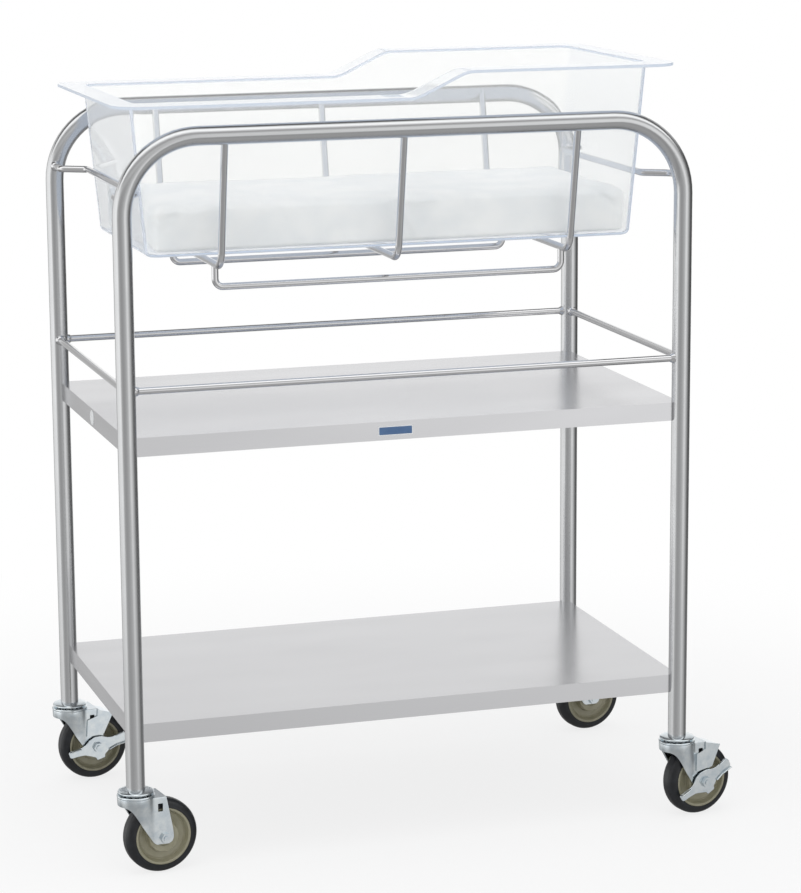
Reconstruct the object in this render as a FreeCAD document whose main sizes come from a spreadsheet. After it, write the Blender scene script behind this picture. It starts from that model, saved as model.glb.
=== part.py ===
"""Hospital bassinet: a stainless tube stand on four casters with a clear lift-out basin.

Axes: X runs along the length, Y from the front side frame to the back one, Z up from the floor.
The origin lies on the floor under the middle of the whole object's box. Sizes are in millimetres,
angles in degrees.
"""
import FreeCAD, Part
import math
import os
from types import SimpleNamespace

import Sketcher
from FreeCAD import Placement, Rotation, Vector

# ---------------------------------------------------------------- driving dimensions

SIZES = {
    # side frames, each bent from one tube
    "frame_length": 800.1,           # over the legs, along X
    "frame_depth": 461.9,            # over the legs, along Y
    "frame_height": 994.7,           # floor to the top of the rails
    "tube_diameter": 25.4,
    "tube_wall": 1.6,
    "rail_bend_radius": 101.6,       # of the tube's centre line
    "weld_gap": 0.05,                # left between welded or pressed pieces
    # shelves
    "middle_shelf_height": 592.2,    # floor to the shelf's top face
    "lower_shelf_height": 205.8,
    "shelf_flange": 25.4,
    "shelf_hem": 12.0,
    "shelf_sheet": 1.5,
    # guard rails over the middle shelf
    "guard_rail_height": 61.7,       # above the middle shelf's top
    "guard_rod_diameter": 9.5,
    # cradle hoops that hang from the rails
    "hoop_rod_diameter": 9.5,
    "hoop_spacing": 243.8,
    "hoop_shift": -1.0,              # of the middle hoop, along X
    "hoop_lean": 10.6,               # of a hoop's legs, inward
    "hoop_bottom_height": -179.5,    # of the rod's centre line, from the rail's
    "hoop_bend_radius": 22.0,
    "hoop_end_rise": 2.0,            # above the rail's centre line
    # rods below the hoops
    "under_rod_diameter": 9.4,
    "under_rail_drop": 30.7,         # below the hoops, centre line to centre line
    "under_bend_radius": 11.0,
    "front_under_rail_offset": 33.5,   # hoop's corner to the rod, inward
    "back_under_rail_offset": 57.0,
    # end braces, bent in to the basin's ends
    "brace_rod_diameter": 9.5,
    "brace_height": 85.5,            # above the basin's underside
    "brace_stub": 33.0,              # straight end, from the leg's surface
    "brace_inset": 34.5,             # leg's axis to the rod's long run
    "brace_run_half_length": 152.0,
    "brace_bend_radius": 11.0,
    # bare plates on the middle shelf's flanges
    "name_plate_length": 48.0,
    "name_plate_width": 12.5,
    "name_plate_sheet": 0.8,
    "name_plate_shift": -22.4,
    "round_label_diameter": 20.5,
    "round_label_sheet": 0.5,
    "round_label_shift": 3.0,
    # basin
    "basin_wall": 4.0,
    "basin_floor_height": 14.0,      # underside of the floor, above the hoops' centre line
    "basin_low_rim_height": 203.8,   # underside to the top of the rim at the low end
    "basin_high_rim_height": 237.0,  # underside to the top of the rim at the high end
    "basin_rim_thickness": 4.5,
    "basin_rim_corner": 40.0,
    "basin_rim_end_width": 30.5,
    "basin_rim_side_width": 48.0,
    "basin_side_width": 58.75,       # leg's axis to the side wall, at the low rim
    "basin_end_draft": 5.1,
    "basin_side_draft": 1.7,
    "basin_corner_radius": 18.0,
    "basin_foot_radius": 10.0,
    "basin_slope_start": 12.0,       # where the rim starts to rise, along X
    "basin_slope_length": 80.0,
    "basin_slope_bend": 9.0,
    "seat_gap": 0.3,                 # between pieces that touch but come apart
    # mattress
    "mattress_thickness": 61.0,
    "mattress_side_gap": 5.5,
    "mattress_end_gap": 5.0,
    "mattress_corner_radius": 10.0,
    "mattress_edge_radius": 9.0,
    # casters: stem and swivel
    "caster_height": 16.2,           # wheel's top to the leg's end
    "wheel_lead": 32.9,              # swivel axis to axle
    "stem_diameter": 11.1,
    "stem_length": 37.0,
    "stem_chamfer": 1.5,
    "socket_length": 40.0,
    "rivet_diameter": 15.0,
    "rivet_thickness": 3.0,
    "cap_diameter": 48.6,
    "cap_thickness": 4.5,
    "cap_slope": 7.0,                # width of the cap's sloping edge
    "cap_edge": 2.0,                 # height of the cap's upright edge
    "swivel_gap": 1.8,
    "raceway_diameter": 49.0,
    "raceway_height": 3.5,
    "ball_diameter": 4.76,
    "ball_circle_diameter": 32.0,
    "ball_count": 12,
    "groove_clearance": 0.05,
    "running_clearance": 0.08,
    # casters: fork
    "fork_sheet": 3.0,
    "fork_diameter": 52.0,           # of the fork's round nose
    "fork_nose": 17.0,               # swivel axis to the foot of the nose
    "fork_skirt": 10.5,              # height of the nose
    "fork_nose_bend": 9.0,
    "fork_tail": 2.5,                # axle to the back edge of the fork's top
    "fork_toe": 12.5,                # axle to the front edge of the fork's feet
    "fork_heel": 12.1,
    "fork_heel_rise": 7.2,
    "fork_drop": 8.0,                # axle to the bottom of the fork's feet
    "hook_back": 6.1,                # axle to the hook's hole, towards the swivel axis
    "hook_rise": 43.0,
    "hook_width": 7.0,
    "hook_height": 11.0,
    # casters: wheel and axle
    "wheel_diameter": 101.6,
    "wheel_width": 28.0,             # of the tread
    "tread_thickness": 11.7,
    "tread_corner": 4.0,
    "hub_width": 34.0,
    "hub_diameter": 41.0,
    "core_lip": 4.5,
    "core_recess": 7.0,
    "bearing_diameter": 12.7,
    "axle_diameter": 7.94,
    "axle_play": 0.3,
    "nut_flats": 13.0,
    "nut_thickness": 5.0,
    "thread_gap": 0.02,
    "bolt_end": 1.6,                 # bolt that shows past its nut
    # brake
    "brake_sheet": 2.0,
    "brake_gap": 0.3,                # between the brake's moving plates
    "lever_travel": 17.0,            # released to locked
    "lever_locked_angle": 17.4,
    "lever_hub_diameter": 34.0,
    "lever_boss_diameter": 18.0,
    "lever_toe_length": 47.0,
    "lever_toe_width": 17.0,
    "lever_heel_length": 46.0,
    "lever_heel_width": 12.0,
    "lever_heel_turn": 172.5,        # from the toe's arm to the heel's arm
    "lever_pad_length": 20.0,
    "lever_pad_depth": 4.5,
    "lever_rib_length": 28.0,
    "lever_rib_depth": 2.5,
    "lever_tab_length": 19.0,
    "lever_tab_width": 12.0,
    "shoe_travel": 4.0,
    "shoe_gap": 2.2,                 # tread to the released shoe
    "shoe_start_angle": 5.3,         # of the band over the tread, back from straight above the axle
    "shoe_end_angle": 26.5,
    "shoe_reach": 28.6,
    "shoe_edge": 1.5,                # plate that stands out past the band
    "shoe_front": 13.5,              # axle to the plate's front edge
    "shoe_back": 12.0,
    "shoe_bottom": 16.0,             # axle to the plate's lower edge
    "shoe_shoulder": 4.0,
    "shoe_step": 1.0,                # axle to the step in the plate's upper edge
    "hook_play": 0.6,
    # how the casters stand, turned from trailing straight towards +X
    "swivel_angle_fl": 8.35,
    "swivel_angle_fr": 11.03,
    "swivel_angle_bl": 8.10,
    "swivel_angle_br": 8.10,
    # the middle of the object's box, seen from the middle of the four legs
    "origin_x": 29.137,
    "origin_y": -0.082,
}

doc = FreeCAD.newDocument("bassinet")
sheet = doc.addObject("Spreadsheet::Sheet", "Sizes")
for row, (alias, number) in enumerate(SIZES.items(), start=1):
    sheet.set(f"A{row}", alias)
    sheet.set(f"B{row}", str(number))
    sheet.setAlias(f"B{row}", alias)
doc.recompute()


class Size:
    """A number together with the sheet formula that gives it."""

    def __init__(self, number, text):
        self.number = float(number)
        self.text = text

    def __add__(self, other):
        other = sized(other)
        return Size(self.number + other.number, f"({self.text} + {other.text})")

    def __sub__(self, other):
        other = sized(other)
        return Size(self.number - other.number, f"({self.text} - {other.text})")

    def __mul__(self, other):
        other = sized(other)
        return Size(self.number * other.number, f"{self.text} * {other.text}")

    def __truediv__(self, other):
        other = sized(other)
        return Size(self.number / other.number, f"({self.text} / {other.text})")

    def __neg__(self):
        return Size(-self.number, f"(0 - {self.text})")

    def __radd__(self, other):
        return sized(other) + self

    def __rsub__(self, other):
        return sized(other) - self

    def __rmul__(self, other):
        return sized(other) * self


def sized(thing):
    """A plain number, or a size as it is."""
    return thing if isinstance(thing, Size) else Size(thing, str(thing))


def cosine(angle):
    return Size(math.cos(math.radians(sized(angle).number)), f"cos({sized(angle).text})")


def sine(angle):
    return Size(math.sin(math.radians(sized(angle).number)), f"sin({sized(angle).text})")


def tangent(angle):
    return Size(math.tan(math.radians(sized(angle).number)), f"tan({sized(angle).text})")


s = SimpleNamespace(**{name: Size(number, "Sizes." + name) for name, number in SIZES.items()})

# ---------------------------------------------------------------- sizes that follow

s.tube_radius = s.tube_diameter / 2
s.leg_x = s.frame_length / 2 - s.tube_radius
s.leg_y = s.frame_depth / 2 - s.tube_radius
s.rail_z = s.frame_height - s.tube_radius
s.notch_radius = s.tube_radius + s.weld_gap

s.guard_radius = s.guard_rod_diameter / 2
s.guard_rail_z = s.middle_shelf_height + s.guard_rail_height
s.hoop_radius = s.hoop_rod_diameter / 2
s.hoop_top_z = s.rail_z + s.hoop_end_rise
s.hoop_bottom_z = s.rail_z + s.hoop_bottom_height
s.hoop_top_y = s.leg_y - s.tube_radius - s.hoop_radius / cosine(s.hoop_lean) - s.weld_gap
s.hoop_drop = s.hoop_top_z - s.hoop_bottom_z
s.hoop_corner_y = s.hoop_top_y - s.hoop_drop * tangent(s.hoop_lean)
s.left_hoop_x = s.hoop_shift - s.hoop_spacing
s.right_hoop_x = s.hoop_shift + s.hoop_spacing
s.under_radius = s.under_rod_diameter / 2
s.under_rail_z = s.hoop_bottom_z - s.under_rail_drop

s.basin_floor_z = s.hoop_bottom_z + s.basin_floor_height
s.basin_low_rim_z = s.basin_floor_z + s.basin_low_rim_height
s.basin_high_rim_z = s.basin_floor_z + s.basin_high_rim_height

s.brace_radius = s.brace_rod_diameter / 2
s.brace_z = s.basin_floor_z + s.brace_height
s.brace_run_x = s.leg_x - s.brace_inset
s.brace_turn_y = s.leg_y - s.tube_radius - s.brace_stub

# The basin's end walls wedge between the two end braces.
s.basin_brace_x = s.brace_run_x - s.brace_radius - s.seat_gap
s.basin_bottom_x = s.basin_brace_x - (s.brace_z - s.basin_floor_z) * tangent(s.basin_end_draft)
s.basin_low_x = s.basin_bottom_x + (s.basin_low_rim_z - s.basin_floor_z) * tangent(s.basin_end_draft)
s.basin_low_y = s.leg_y - s.basin_side_width
s.basin_bottom_y = s.basin_low_y - (s.basin_low_rim_z - s.basin_floor_z) * tangent(s.basin_side_draft)
s.basin_rim_x = s.basin_low_x + s.basin_rim_end_width
s.basin_rim_y = s.basin_low_y + s.basin_rim_side_width
s.basin_slope_end = s.basin_slope_start + s.basin_slope_length
s.basin_floor_top = s.basin_floor_z + s.basin_wall
s.basin_inner_corner = s.basin_corner_radius - s.basin_wall
s.mattress_x = s.basin_bottom_x - s.basin_wall - s.mattress_end_gap
s.mattress_y = s.basin_bottom_y - s.basin_wall - s.mattress_side_gap
s.mattress_bottom = s.basin_floor_top + s.seat_gap

s.leg_end_z = s.wheel_diameter + s.caster_height
s.stem_radius = s.stem_diameter / 2
s.stem_top = s.leg_end_z + s.stem_length
s.socket_radius = s.tube_radius - s.tube_wall - s.weld_gap
s.stem_hole_radius = s.stem_radius + s.weld_gap
s.cap_radius = s.cap_diameter / 2
s.cap_bottom = s.leg_end_z - s.cap_thickness
s.raceway_top = s.cap_bottom - s.swivel_gap
s.ball_z = s.cap_bottom - s.swivel_gap / 2
s.ball_radius = s.ball_diameter / 2
s.ball_circle_radius = s.ball_circle_diameter / 2
s.fork_top = s.raceway_top - s.raceway_height
s.fork_ceiling = s.fork_top - s.fork_sheet
s.rivet_top = s.fork_ceiling - s.seat_gap
s.rivet_bottom = s.rivet_top - s.rivet_thickness
s.rivet_radius = s.rivet_diameter / 2

s.wheel_radius = s.wheel_diameter / 2
s.tread_half = s.wheel_width / 2
s.core_radius = s.wheel_radius - s.tread_thickness
s.hub_half = s.hub_width / 2
s.bearing_radius = s.bearing_diameter / 2
s.axle_radius = s.axle_diameter / 2
s.axle_hole_radius = s.axle_radius + s.running_clearance
s.fork_inner_half = s.hub_half + s.axle_play
s.fork_outer_half = s.fork_inner_half + s.fork_sheet
s.fork_radius = s.fork_diameter / 2
s.nut_radius = s.nut_flats / 2 / cosine(30)

s.shoe_inner_y = s.fork_outer_half + s.brake_gap
s.shoe_outer_y = s.shoe_inner_y + s.brake_sheet
s.lever_inner_y = s.shoe_outer_y + s.brake_gap
s.lever_outer_y = s.lever_inner_y + s.brake_sheet
s.shoe_radius = s.wheel_radius + s.shoe_gap

CORNERS = {"fl": (-1, -1), "fr": (1, -1), "bl": (-1, 1), "br": (1, 1)}
BRAKES_AT_REST = {"fr": "released", "bl": "locked"}
subparts = []

# ---------------------------------------------------------------- sketches


def bind(thing, path, size):
    """Make a property follow a size."""
    thing.setExpression(path, sized(size).text)


def origin_feature(body, role):
    """One of a body's own origin planes or axes."""
    return next(feature for feature in body.Origin.OriginFeatures if feature.Role == role)


class Outline:
    """A sketch on one of a body's own origin planes, held by sizes.

    Its coordinates are (X, Y) on the XY plane, (X, Z) on the XZ plane and (Y, Z) on the YZ plane.
    Its normal is +Z, -Y or +X: the offset moves it that way, and then the shift moves it in its plane.
    """

    def __init__(self, body, name, plane, offset=0, shift=None, turn=None, tilt=None):
        self.sketch = body.newObject("Sketcher::SketchObject", name)
        self.sketch.AttachmentSupport = [(origin_feature(body, plane + "_Plane"), "")]
        self.sketch.MapMode = "FlatFace"
        if tilt is not None:
            self.sketch.AttachmentOffset = Placement(Vector(), Rotation(Vector(1, 0, 0), sized(tilt).number))
        bind(self.sketch, ".AttachmentOffset.Base.z", offset)
        if shift is not None:
            bind(self.sketch, ".AttachmentOffset.Base.x", shift[0])
            bind(self.sketch, ".AttachmentOffset.Base.y", shift[1])
        if turn is not None or tilt is not None:
            bind(self.sketch, ".AttachmentOffset.Rotation.Angle", turn if tilt is None else tilt)

    def hold(self, kind, *places, size):
        """Add a constraint that follows a size."""
        index = self.sketch.addConstraint(Sketcher.Constraint(kind, *places, sized(size).number))
        bind(self.sketch, f"Constraints[{index}]", size)

    def pin(self, geometry, end, place):
        """Hold one point of the sketch at a place."""
        self.hold("DistanceX", -1, 1, geometry, end, size=place[0])
        self.hold("DistanceY", -1, 1, geometry, end, size=place[1])

    def circle(self, place, radius):
        """Draw a circle."""
        centre = Vector(sized(place[0]).number, sized(place[1]).number, 0)
        index = self.sketch.addGeometry(Part.Circle(centre, Vector(0, 0, 1), sized(radius).number))
        self.pin(index, 3, place)
        self.hold("Radius", index, size=radius)

    def rectangle(self, low, high, radius=None):
        """Draw a rectangle, with round corners when it has a radius."""
        corners = [(low[0], low[1]), (high[0], low[1]), (high[0], high[1]), (low[0], high[1])]
        self.chain(corners, [radius] * 4, closed=True)

    def centred_rectangle(self, half_width, half_height, radius=None):
        """Draw a rectangle about the sketch's own origin."""
        self.rectangle((-half_width, -half_height), (half_width, half_height), radius)

    def chain(self, corners, radii=None, closed=False):
        """Draw straight edges from corner to corner, and round the corners that have a radius."""
        count = len(corners)
        radii = radii or [None] * count
        spots = [Vector(sized(x).number, sized(y).number, 0) for x, y in corners]
        rounds = {}
        for i, radius in enumerate(radii):
            if radius is not None:
                rounds[i] = RoundCorner(spots[i - 1], spots[i], spots[(i + 1) % count], sized(radius).number)
        lines = []
        for i in range(count if closed else count - 1):
            following = (i + 1) % count
            start = rounds[i].leave if i in rounds else spots[i]
            stop = rounds[following].reach if following in rounds else spots[following]
            lines.append(self.sketch.addGeometry(Part.LineSegment(start, stop)))
        for i, corner in enumerate(corners):
            incoming = lines[i - 1] if closed or i > 0 else None
            outgoing = lines[i] if i < len(lines) else None
            if i in rounds:
                self.join_round(rounds[i], incoming, outgoing, corner, radii[i])
            elif outgoing is None:
                self.pin(incoming, 2, corner)
            else:
                self.pin(outgoing, 1, corner)
                if incoming is not None:
                    self.sketch.addConstraint(Sketcher.Constraint("Coincident", incoming, 2, outgoing, 1))

    def join_round(self, rounded, incoming, outgoing, corner, radius):
        """Join two edges by a tangent arc, and hold the corner where they would meet."""
        arc = self.sketch.addGeometry(rounded.arc)
        first, last = (1, 2) if rounded.turns_left else (2, 1)
        self.sketch.addConstraint(Sketcher.Constraint("Tangent", incoming, 2, arc, first))
        self.sketch.addConstraint(Sketcher.Constraint("Tangent", arc, last, outgoing, 1))
        self.hold("Radius", arc, size=radius)
        mark = self.sketch.addGeometry(Part.Point(rounded.tip), True)
        self.sketch.addConstraint(Sketcher.Constraint("PointOnObject", mark, 1, incoming))
        self.sketch.addConstraint(Sketcher.Constraint("PointOnObject", mark, 1, outgoing))
        self.pin(mark, 1, corner)


class RoundCorner:
    """The tangent arc that rounds the corner between two straight edges."""

    def __init__(self, before, tip, after, radius):
        self.tip = tip
        arriving = (tip - before).normalize()
        leaving = (after - tip).normalize()
        self.turns_left = arriving.x * leaving.y - arriving.y * leaving.x > 0
        setback = radius * math.tan(arriving.getAngle(leaving) / 2)
        self.reach = tip - arriving * setback
        self.leave = tip + leaving * setback
        side = radius if self.turns_left else -radius
        centre = self.reach + Vector(-arriving.y, arriving.x, 0) * side
        first, last = (self.reach, self.leave) if self.turns_left else (self.leave, self.reach)
        start = math.atan2(first.y - centre.y, first.x - centre.x)
        stop = math.atan2(last.y - centre.y, last.x - centre.x)
        self.arc = Part.ArcOfCircle(Part.Circle(centre, Vector(0, 0, 1), radius), start, stop)


# ---------------------------------------------------------------- features


def place(thing, x, y, z=0, turn=None):
    """Make a sub-part's Placement follow sizes that are measured from the middle of the legs."""
    bind(thing, ".Placement.Base.x", x - s.origin_x)
    bind(thing, ".Placement.Base.y", y - s.origin_y)
    bind(thing, ".Placement.Base.z", z)
    if turn is not None:
        bind(thing, ".Placement.Rotation.Angle", turn)


def new_body(label, x=0, y=0, z=0, turn=None):
    """Start a sub-part."""
    body = doc.addObject("PartDesign::Body", "Body_" + label)
    body.Label = label
    place(body, x, y, z, turn)
    subparts.append(body)
    return body


def extrude(body, outline, length, kind="PartDesign::Pad", midplane=False, reverse=False):
    """Pad or pocket an outline: a pad goes along the sketch's normal and a pocket against it."""
    feature = body.newObject(kind, outline.sketch.Name + "_" + kind.split("::")[1])
    feature.Profile = outline.sketch
    bind(feature, "Length", length)
    feature.Midplane = midplane
    feature.Reversed = reverse
    return feature


def pocket(body, outline, length, midplane=False, reverse=False):
    """Cut an outline away, and make sure that something went."""
    doc.recompute()
    before = body.Shape.Volume
    feature = extrude(body, outline, length, "PartDesign::Pocket", midplane, reverse)
    doc.recompute()
    if body.Shape.Volume >= before - 1e-6:
        raise ValueError(f"{feature.Name} cuts nothing from {body.Label}")
    return feature


def revolve(body, outline, axis, kind="PartDesign::Revolution"):
    """Turn an outline about one of the body's own axes."""
    feature = body.newObject(kind, outline.sketch.Name + "_turned")
    feature.Profile = outline.sketch
    feature.ReferenceAxis = (origin_feature(body, axis + "_Axis"), [""])
    feature.Angle = 360.0
    return feature


def sweep(body, section, path):
    """Draw a section along a path."""
    feature = body.newObject("PartDesign::AdditivePipe", path.sketch.Name + "_pipe")
    feature.Profile = section.sketch
    feature.Spine = (path.sketch, [])
    return feature


def loft(body, name, levels, kind="PartDesign::AdditiveLoft"):
    """Join rounded rectangles at two heights, each given as (height, half length, half depth, radius)."""
    outlines = []
    for index, (height, half_length, half_depth, radius) in enumerate(levels):
        outline = Outline(body, f"{name}_{index}", "XY", height)
        outline.centred_rectangle(half_length, half_depth, radius)
        outlines.append(outline.sketch)
    feature = body.newObject(kind, name)
    feature.Profile = outlines[0]
    feature.Sections = outlines[1:]
    feature.Ruled = True
    return feature


def flat_face(shape, direction, reach):
    """The name of the flat face that faces a direction and lies nearest to a distance along it."""
    found = []
    for index, face in enumerate(shape.Faces, start=1):
        if isinstance(face.Surface, Part.Plane) and face.normalAt(0, 0).dot(direction) > 0.999:
            found.append((abs(face.CenterOfMass.dot(direction) - reach), f"Face{index}"))
    return min(found)[1]


def round_face(body, name, direction, reach, radius):
    """Fillet the edges of one flat face."""
    doc.recompute()
    base = body.Tip
    feature = body.newObject("PartDesign::Fillet", name)
    feature.Base = (base, [flat_face(base.Shape, direction, sized(reach).number)])
    bind(feature, "Radius", radius)
    return feature


def cut_legs(body, name, middle, half_height):
    """Cut away the room of the four legs."""
    outline = Outline(body, name, "XY", middle)
    for side_x, side_y in CORNERS.values():
        outline.circle((side_x * s.leg_x, side_y * s.leg_y), s.notch_radius)
    pocket(body, outline, 2 * half_height, midplane=True)


# ---------------------------------------------------------------- stand


def make_side_frame(label, side):
    """One tube: up a leg, along the top rail and down the other leg."""
    body = new_body(label)
    path = Outline(body, label + "_path", "XZ", -side * s.leg_y)
    path.chain([(-s.leg_x, s.leg_end_z), (-s.leg_x, s.rail_z), (s.leg_x, s.rail_z), (s.leg_x, s.leg_end_z)],
               [None, s.rail_bend_radius, s.rail_bend_radius, None])
    section = Outline(body, label + "_section", "XY", s.leg_end_z)
    section.circle((-s.leg_x, side * s.leg_y), s.tube_radius)
    section.circle((-s.leg_x, side * s.leg_y), s.tube_radius - s.tube_wall)
    sweep(body, section, path)


def make_shelf(label, top):
    """A sheet pan: a plate, flanges bent down and hems turned in, notched round the legs."""
    body = new_body(label)
    bottom = top - s.shelf_flange
    plate = Outline(body, label + "_plate", "XY", top)
    plate.centred_rectangle(s.leg_x, s.leg_y)
    extrude(body, plate, s.shelf_sheet, reverse=True)
    flange = Outline(body, label + "_flange", "XY", bottom)
    flange.centred_rectangle(s.leg_x, s.leg_y)
    flange.centred_rectangle(s.leg_x - s.shelf_sheet, s.leg_y - s.shelf_sheet)
    extrude(body, flange, s.shelf_flange)
    hem = Outline(body, label + "_hem", "XY", bottom)
    hem.centred_rectangle(s.leg_x, s.leg_y)
    hem.centred_rectangle(s.leg_x - s.shelf_hem, s.leg_y - s.shelf_hem)
    extrude(body, hem, s.shelf_sheet)
    cut_legs(body, label + "_notches", top - s.shelf_flange / 2, s.shelf_flange)


def make_long_guard_rail(label, side):
    """A rod from leg to leg along X."""
    body = new_body(label)
    outline = Outline(body, label + "_rod", "YZ")
    outline.circle((side * s.leg_y, s.guard_rail_z), s.guard_radius)
    extrude(body, outline, 2 * s.leg_x, midplane=True)
    cut_legs(body, label + "_ends", s.guard_rail_z, s.guard_rod_diameter)


def make_end_guard_rail(label, side):
    """A rod from leg to leg along Y."""
    body = new_body(label)
    outline = Outline(body, label + "_rod", "XZ")
    outline.circle((side * s.leg_x, s.guard_rail_z), s.guard_radius)
    extrude(body, outline, 2 * s.leg_y, midplane=True)
    cut_legs(body, label + "_ends", s.guard_rail_z, s.guard_rod_diameter)


def make_end_brace(label, side):
    """A rod welded to two legs and bent in to the basin's end."""
    body = new_body(label)
    leg = side * s.leg_x
    run = side * s.brace_run_x
    path = Outline(body, label + "_path", "XY", s.brace_z)
    path.chain([(leg, s.leg_y), (leg, s.brace_turn_y), (run, s.brace_run_half_length),
                (run, -s.brace_run_half_length), (leg, -s.brace_turn_y), (leg, -s.leg_y)],
               [None] + [s.brace_bend_radius] * 4 + [None])
    section = Outline(body, label + "_section", "XZ", -s.leg_y)
    section.circle((leg, s.brace_z), s.brace_radius)
    sweep(body, section, path)
    cut_legs(body, label + "_ends", s.brace_z, s.brace_rod_diameter)


def make_hoop(label, x):
    """A rod that hangs from both rails and passes under the basin."""
    body = new_body(label)
    path = Outline(body, label + "_path", "YZ", x)
    path.chain([(-s.hoop_top_y, s.hoop_top_z), (-s.hoop_corner_y, s.hoop_bottom_z),
                (s.hoop_corner_y, s.hoop_bottom_z), (s.hoop_top_y, s.hoop_top_z)],
               [None, s.hoop_bend_radius, s.hoop_bend_radius, None])
    section = Outline(body, label + "_section", "XY", s.hoop_top_z, shift=(x, -s.hoop_top_y), tilt=s.hoop_lean)
    section.circle((0, 0), s.hoop_radius)
    sweep(body, section, path)


def make_under_rail(label, y):
    """A rod along X that hangs below the outer hoops."""
    body = new_body(label)
    path = Outline(body, label + "_path", "XZ", -y)
    path.chain([(s.left_hoop_x, s.hoop_bottom_z), (s.left_hoop_x, s.under_rail_z),
                (s.right_hoop_x, s.under_rail_z), (s.right_hoop_x, s.hoop_bottom_z)],
               [None, s.under_bend_radius, s.under_bend_radius, None])
    section = Outline(body, label + "_section", "XY", s.hoop_bottom_z)
    section.circle((s.left_hoop_x, y), s.under_radius)
    sweep(body, section, path)
    ends = Outline(body, label + "_ends", "XZ")
    for x in (s.left_hoop_x, s.right_hoop_x):
        ends.circle((x, s.hoop_bottom_z), s.hoop_radius + s.weld_gap)
    pocket(body, ends, 2 * s.leg_y, midplane=True)


def make_name_plate():
    """A bare plate on the front flange of the middle shelf."""
    body = new_body("name_plate")
    middle = s.middle_shelf_height - s.shelf_flange / 2
    outline = Outline(body, "name_plate_face", "XZ", s.leg_y)
    outline.rectangle((s.name_plate_shift - s.name_plate_length / 2, middle - s.name_plate_width / 2),
                      (s.name_plate_shift + s.name_plate_length / 2, middle + s.name_plate_width / 2))
    extrude(body, outline, s.name_plate_sheet)


def make_round_label():
    """A bare disc on the left flange of the middle shelf."""
    body = new_body("round_label")
    outline = Outline(body, "round_label_face", "YZ", -s.leg_x)
    outline.circle((s.round_label_shift, s.middle_shelf_height - s.shelf_flange / 2), s.round_label_diameter / 2)
    extrude(body, outline, s.round_label_sheet, reverse=True)


def make_leg_sockets():
    """The four sleeves that hold the casters' stems in the legs."""
    sockets = []
    for corner, (side_x, side_y) in CORNERS.items():
        outer = doc.addObject("Part::Cylinder", "socket_outside_" + corner)
        bind(outer, "Radius", s.socket_radius)
        inner = doc.addObject("Part::Cylinder", "socket_bore_" + corner)
        bind(inner, "Radius", s.stem_hole_radius)
        for cylinder in (outer, inner):
            bind(cylinder, "Height", s.socket_length)
            bind(cylinder, ".Placement.Base.x", side_x * s.leg_x)
            bind(cylinder, ".Placement.Base.y", side_y * s.leg_y)
            bind(cylinder, ".Placement.Base.z", s.leg_end_z)
        socket = doc.addObject("Part::Cut", "socket_" + corner)
        socket.Base = outer
        socket.Tool = inner
        sockets.append(socket)
    group = doc.addObject("Part::Compound", "Compound_leg_sockets")
    group.Links = sockets
    group.Label = "leg_sockets"
    place(group, sized(0), sized(0))
    subparts.append(group)


# ---------------------------------------------------------------- basin and mattress


def make_basin():
    """A clear moulded tub whose flat rim steps up towards one end."""
    body = new_body("basin")
    add_basin_block(body)
    add_basin_rim(body)
    round_face(body, "basin_foot", Vector(0, 0, -1), -s.basin_floor_z, s.basin_foot_radius)
    top = s.basin_high_rim_z + s.basin_rim_thickness
    loft(body, "basin_inside", [
        (s.basin_floor_top, basin_half_length(s.basin_floor_top) - s.basin_wall,
         basin_half_depth(s.basin_floor_top) - s.basin_wall, s.basin_inner_corner),
        (top, basin_half_length(top) - s.basin_wall,
         basin_half_depth(top) - s.basin_wall, s.basin_inner_corner)], "PartDesign::SubtractiveLoft")
    round_face(body, "basin_inner_foot", Vector(0, 0, 1), s.basin_floor_top, s.basin_foot_radius - s.basin_wall)


def basin_half_length(height):
    """Half the basin's length over its end walls, at a height."""
    return s.basin_bottom_x + (height - s.basin_floor_z) * tangent(s.basin_end_draft)


def basin_half_depth(height):
    """Half the basin's depth over its side walls, at a height."""
    return s.basin_bottom_y + (height - s.basin_floor_z) * tangent(s.basin_side_draft)


def rim_line(lift):
    """The rim's side view: low, a slope, then high, lifted by a distance."""
    low = s.basin_low_rim_z + lift
    high = s.basin_high_rim_z + lift
    return [(-2 * s.basin_rim_x, low), (s.basin_slope_start, low), (s.basin_slope_end, high),
            (2 * s.basin_rim_x, high)]


def add_basin_block(body):
    """The tapered block inside the outer faces, cut off along the rim's top."""
    high = s.basin_high_rim_z + s.basin_rim_thickness
    loft(body, "basin_outside", [
        (s.basin_floor_z, s.basin_bottom_x, s.basin_bottom_y, s.basin_corner_radius),
        (high, basin_half_length(high), basin_half_depth(high), s.basin_corner_radius)])
    above = Outline(body, "basin_above", "XZ")
    top = s.basin_high_rim_z + s.basin_rim_x
    above.chain(rim_line(sized(0)) + [(2 * s.basin_rim_x, top), (-2 * s.basin_rim_x, top)],
                [None, s.basin_slope_bend, s.basin_slope_bend, None, None, None], closed=True)
    pocket(body, above, 4 * s.basin_rim_y, midplane=True)


def add_basin_rim(body):
    """The flat rim, as a stepped band across the basin with its plan cut out."""
    rim = Outline(body, "basin_rim", "XZ")
    bends = [None, s.basin_slope_bend, s.basin_slope_bend, None]
    rim.chain(rim_line(-s.basin_rim_thickness) + rim_line(sized(0))[::-1], bends * 2, closed=True)
    extrude(body, rim, 2 * s.basin_rim_y, midplane=True)
    plan = Outline(body, "basin_plan", "XY", s.basin_floor_z)
    plan.centred_rectangle(3 * s.basin_rim_x, 3 * s.basin_rim_y)
    plan.centred_rectangle(s.basin_rim_x, s.basin_rim_y, s.basin_rim_corner)
    pocket(body, plan, s.basin_high_rim_z, reverse=True)


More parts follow.
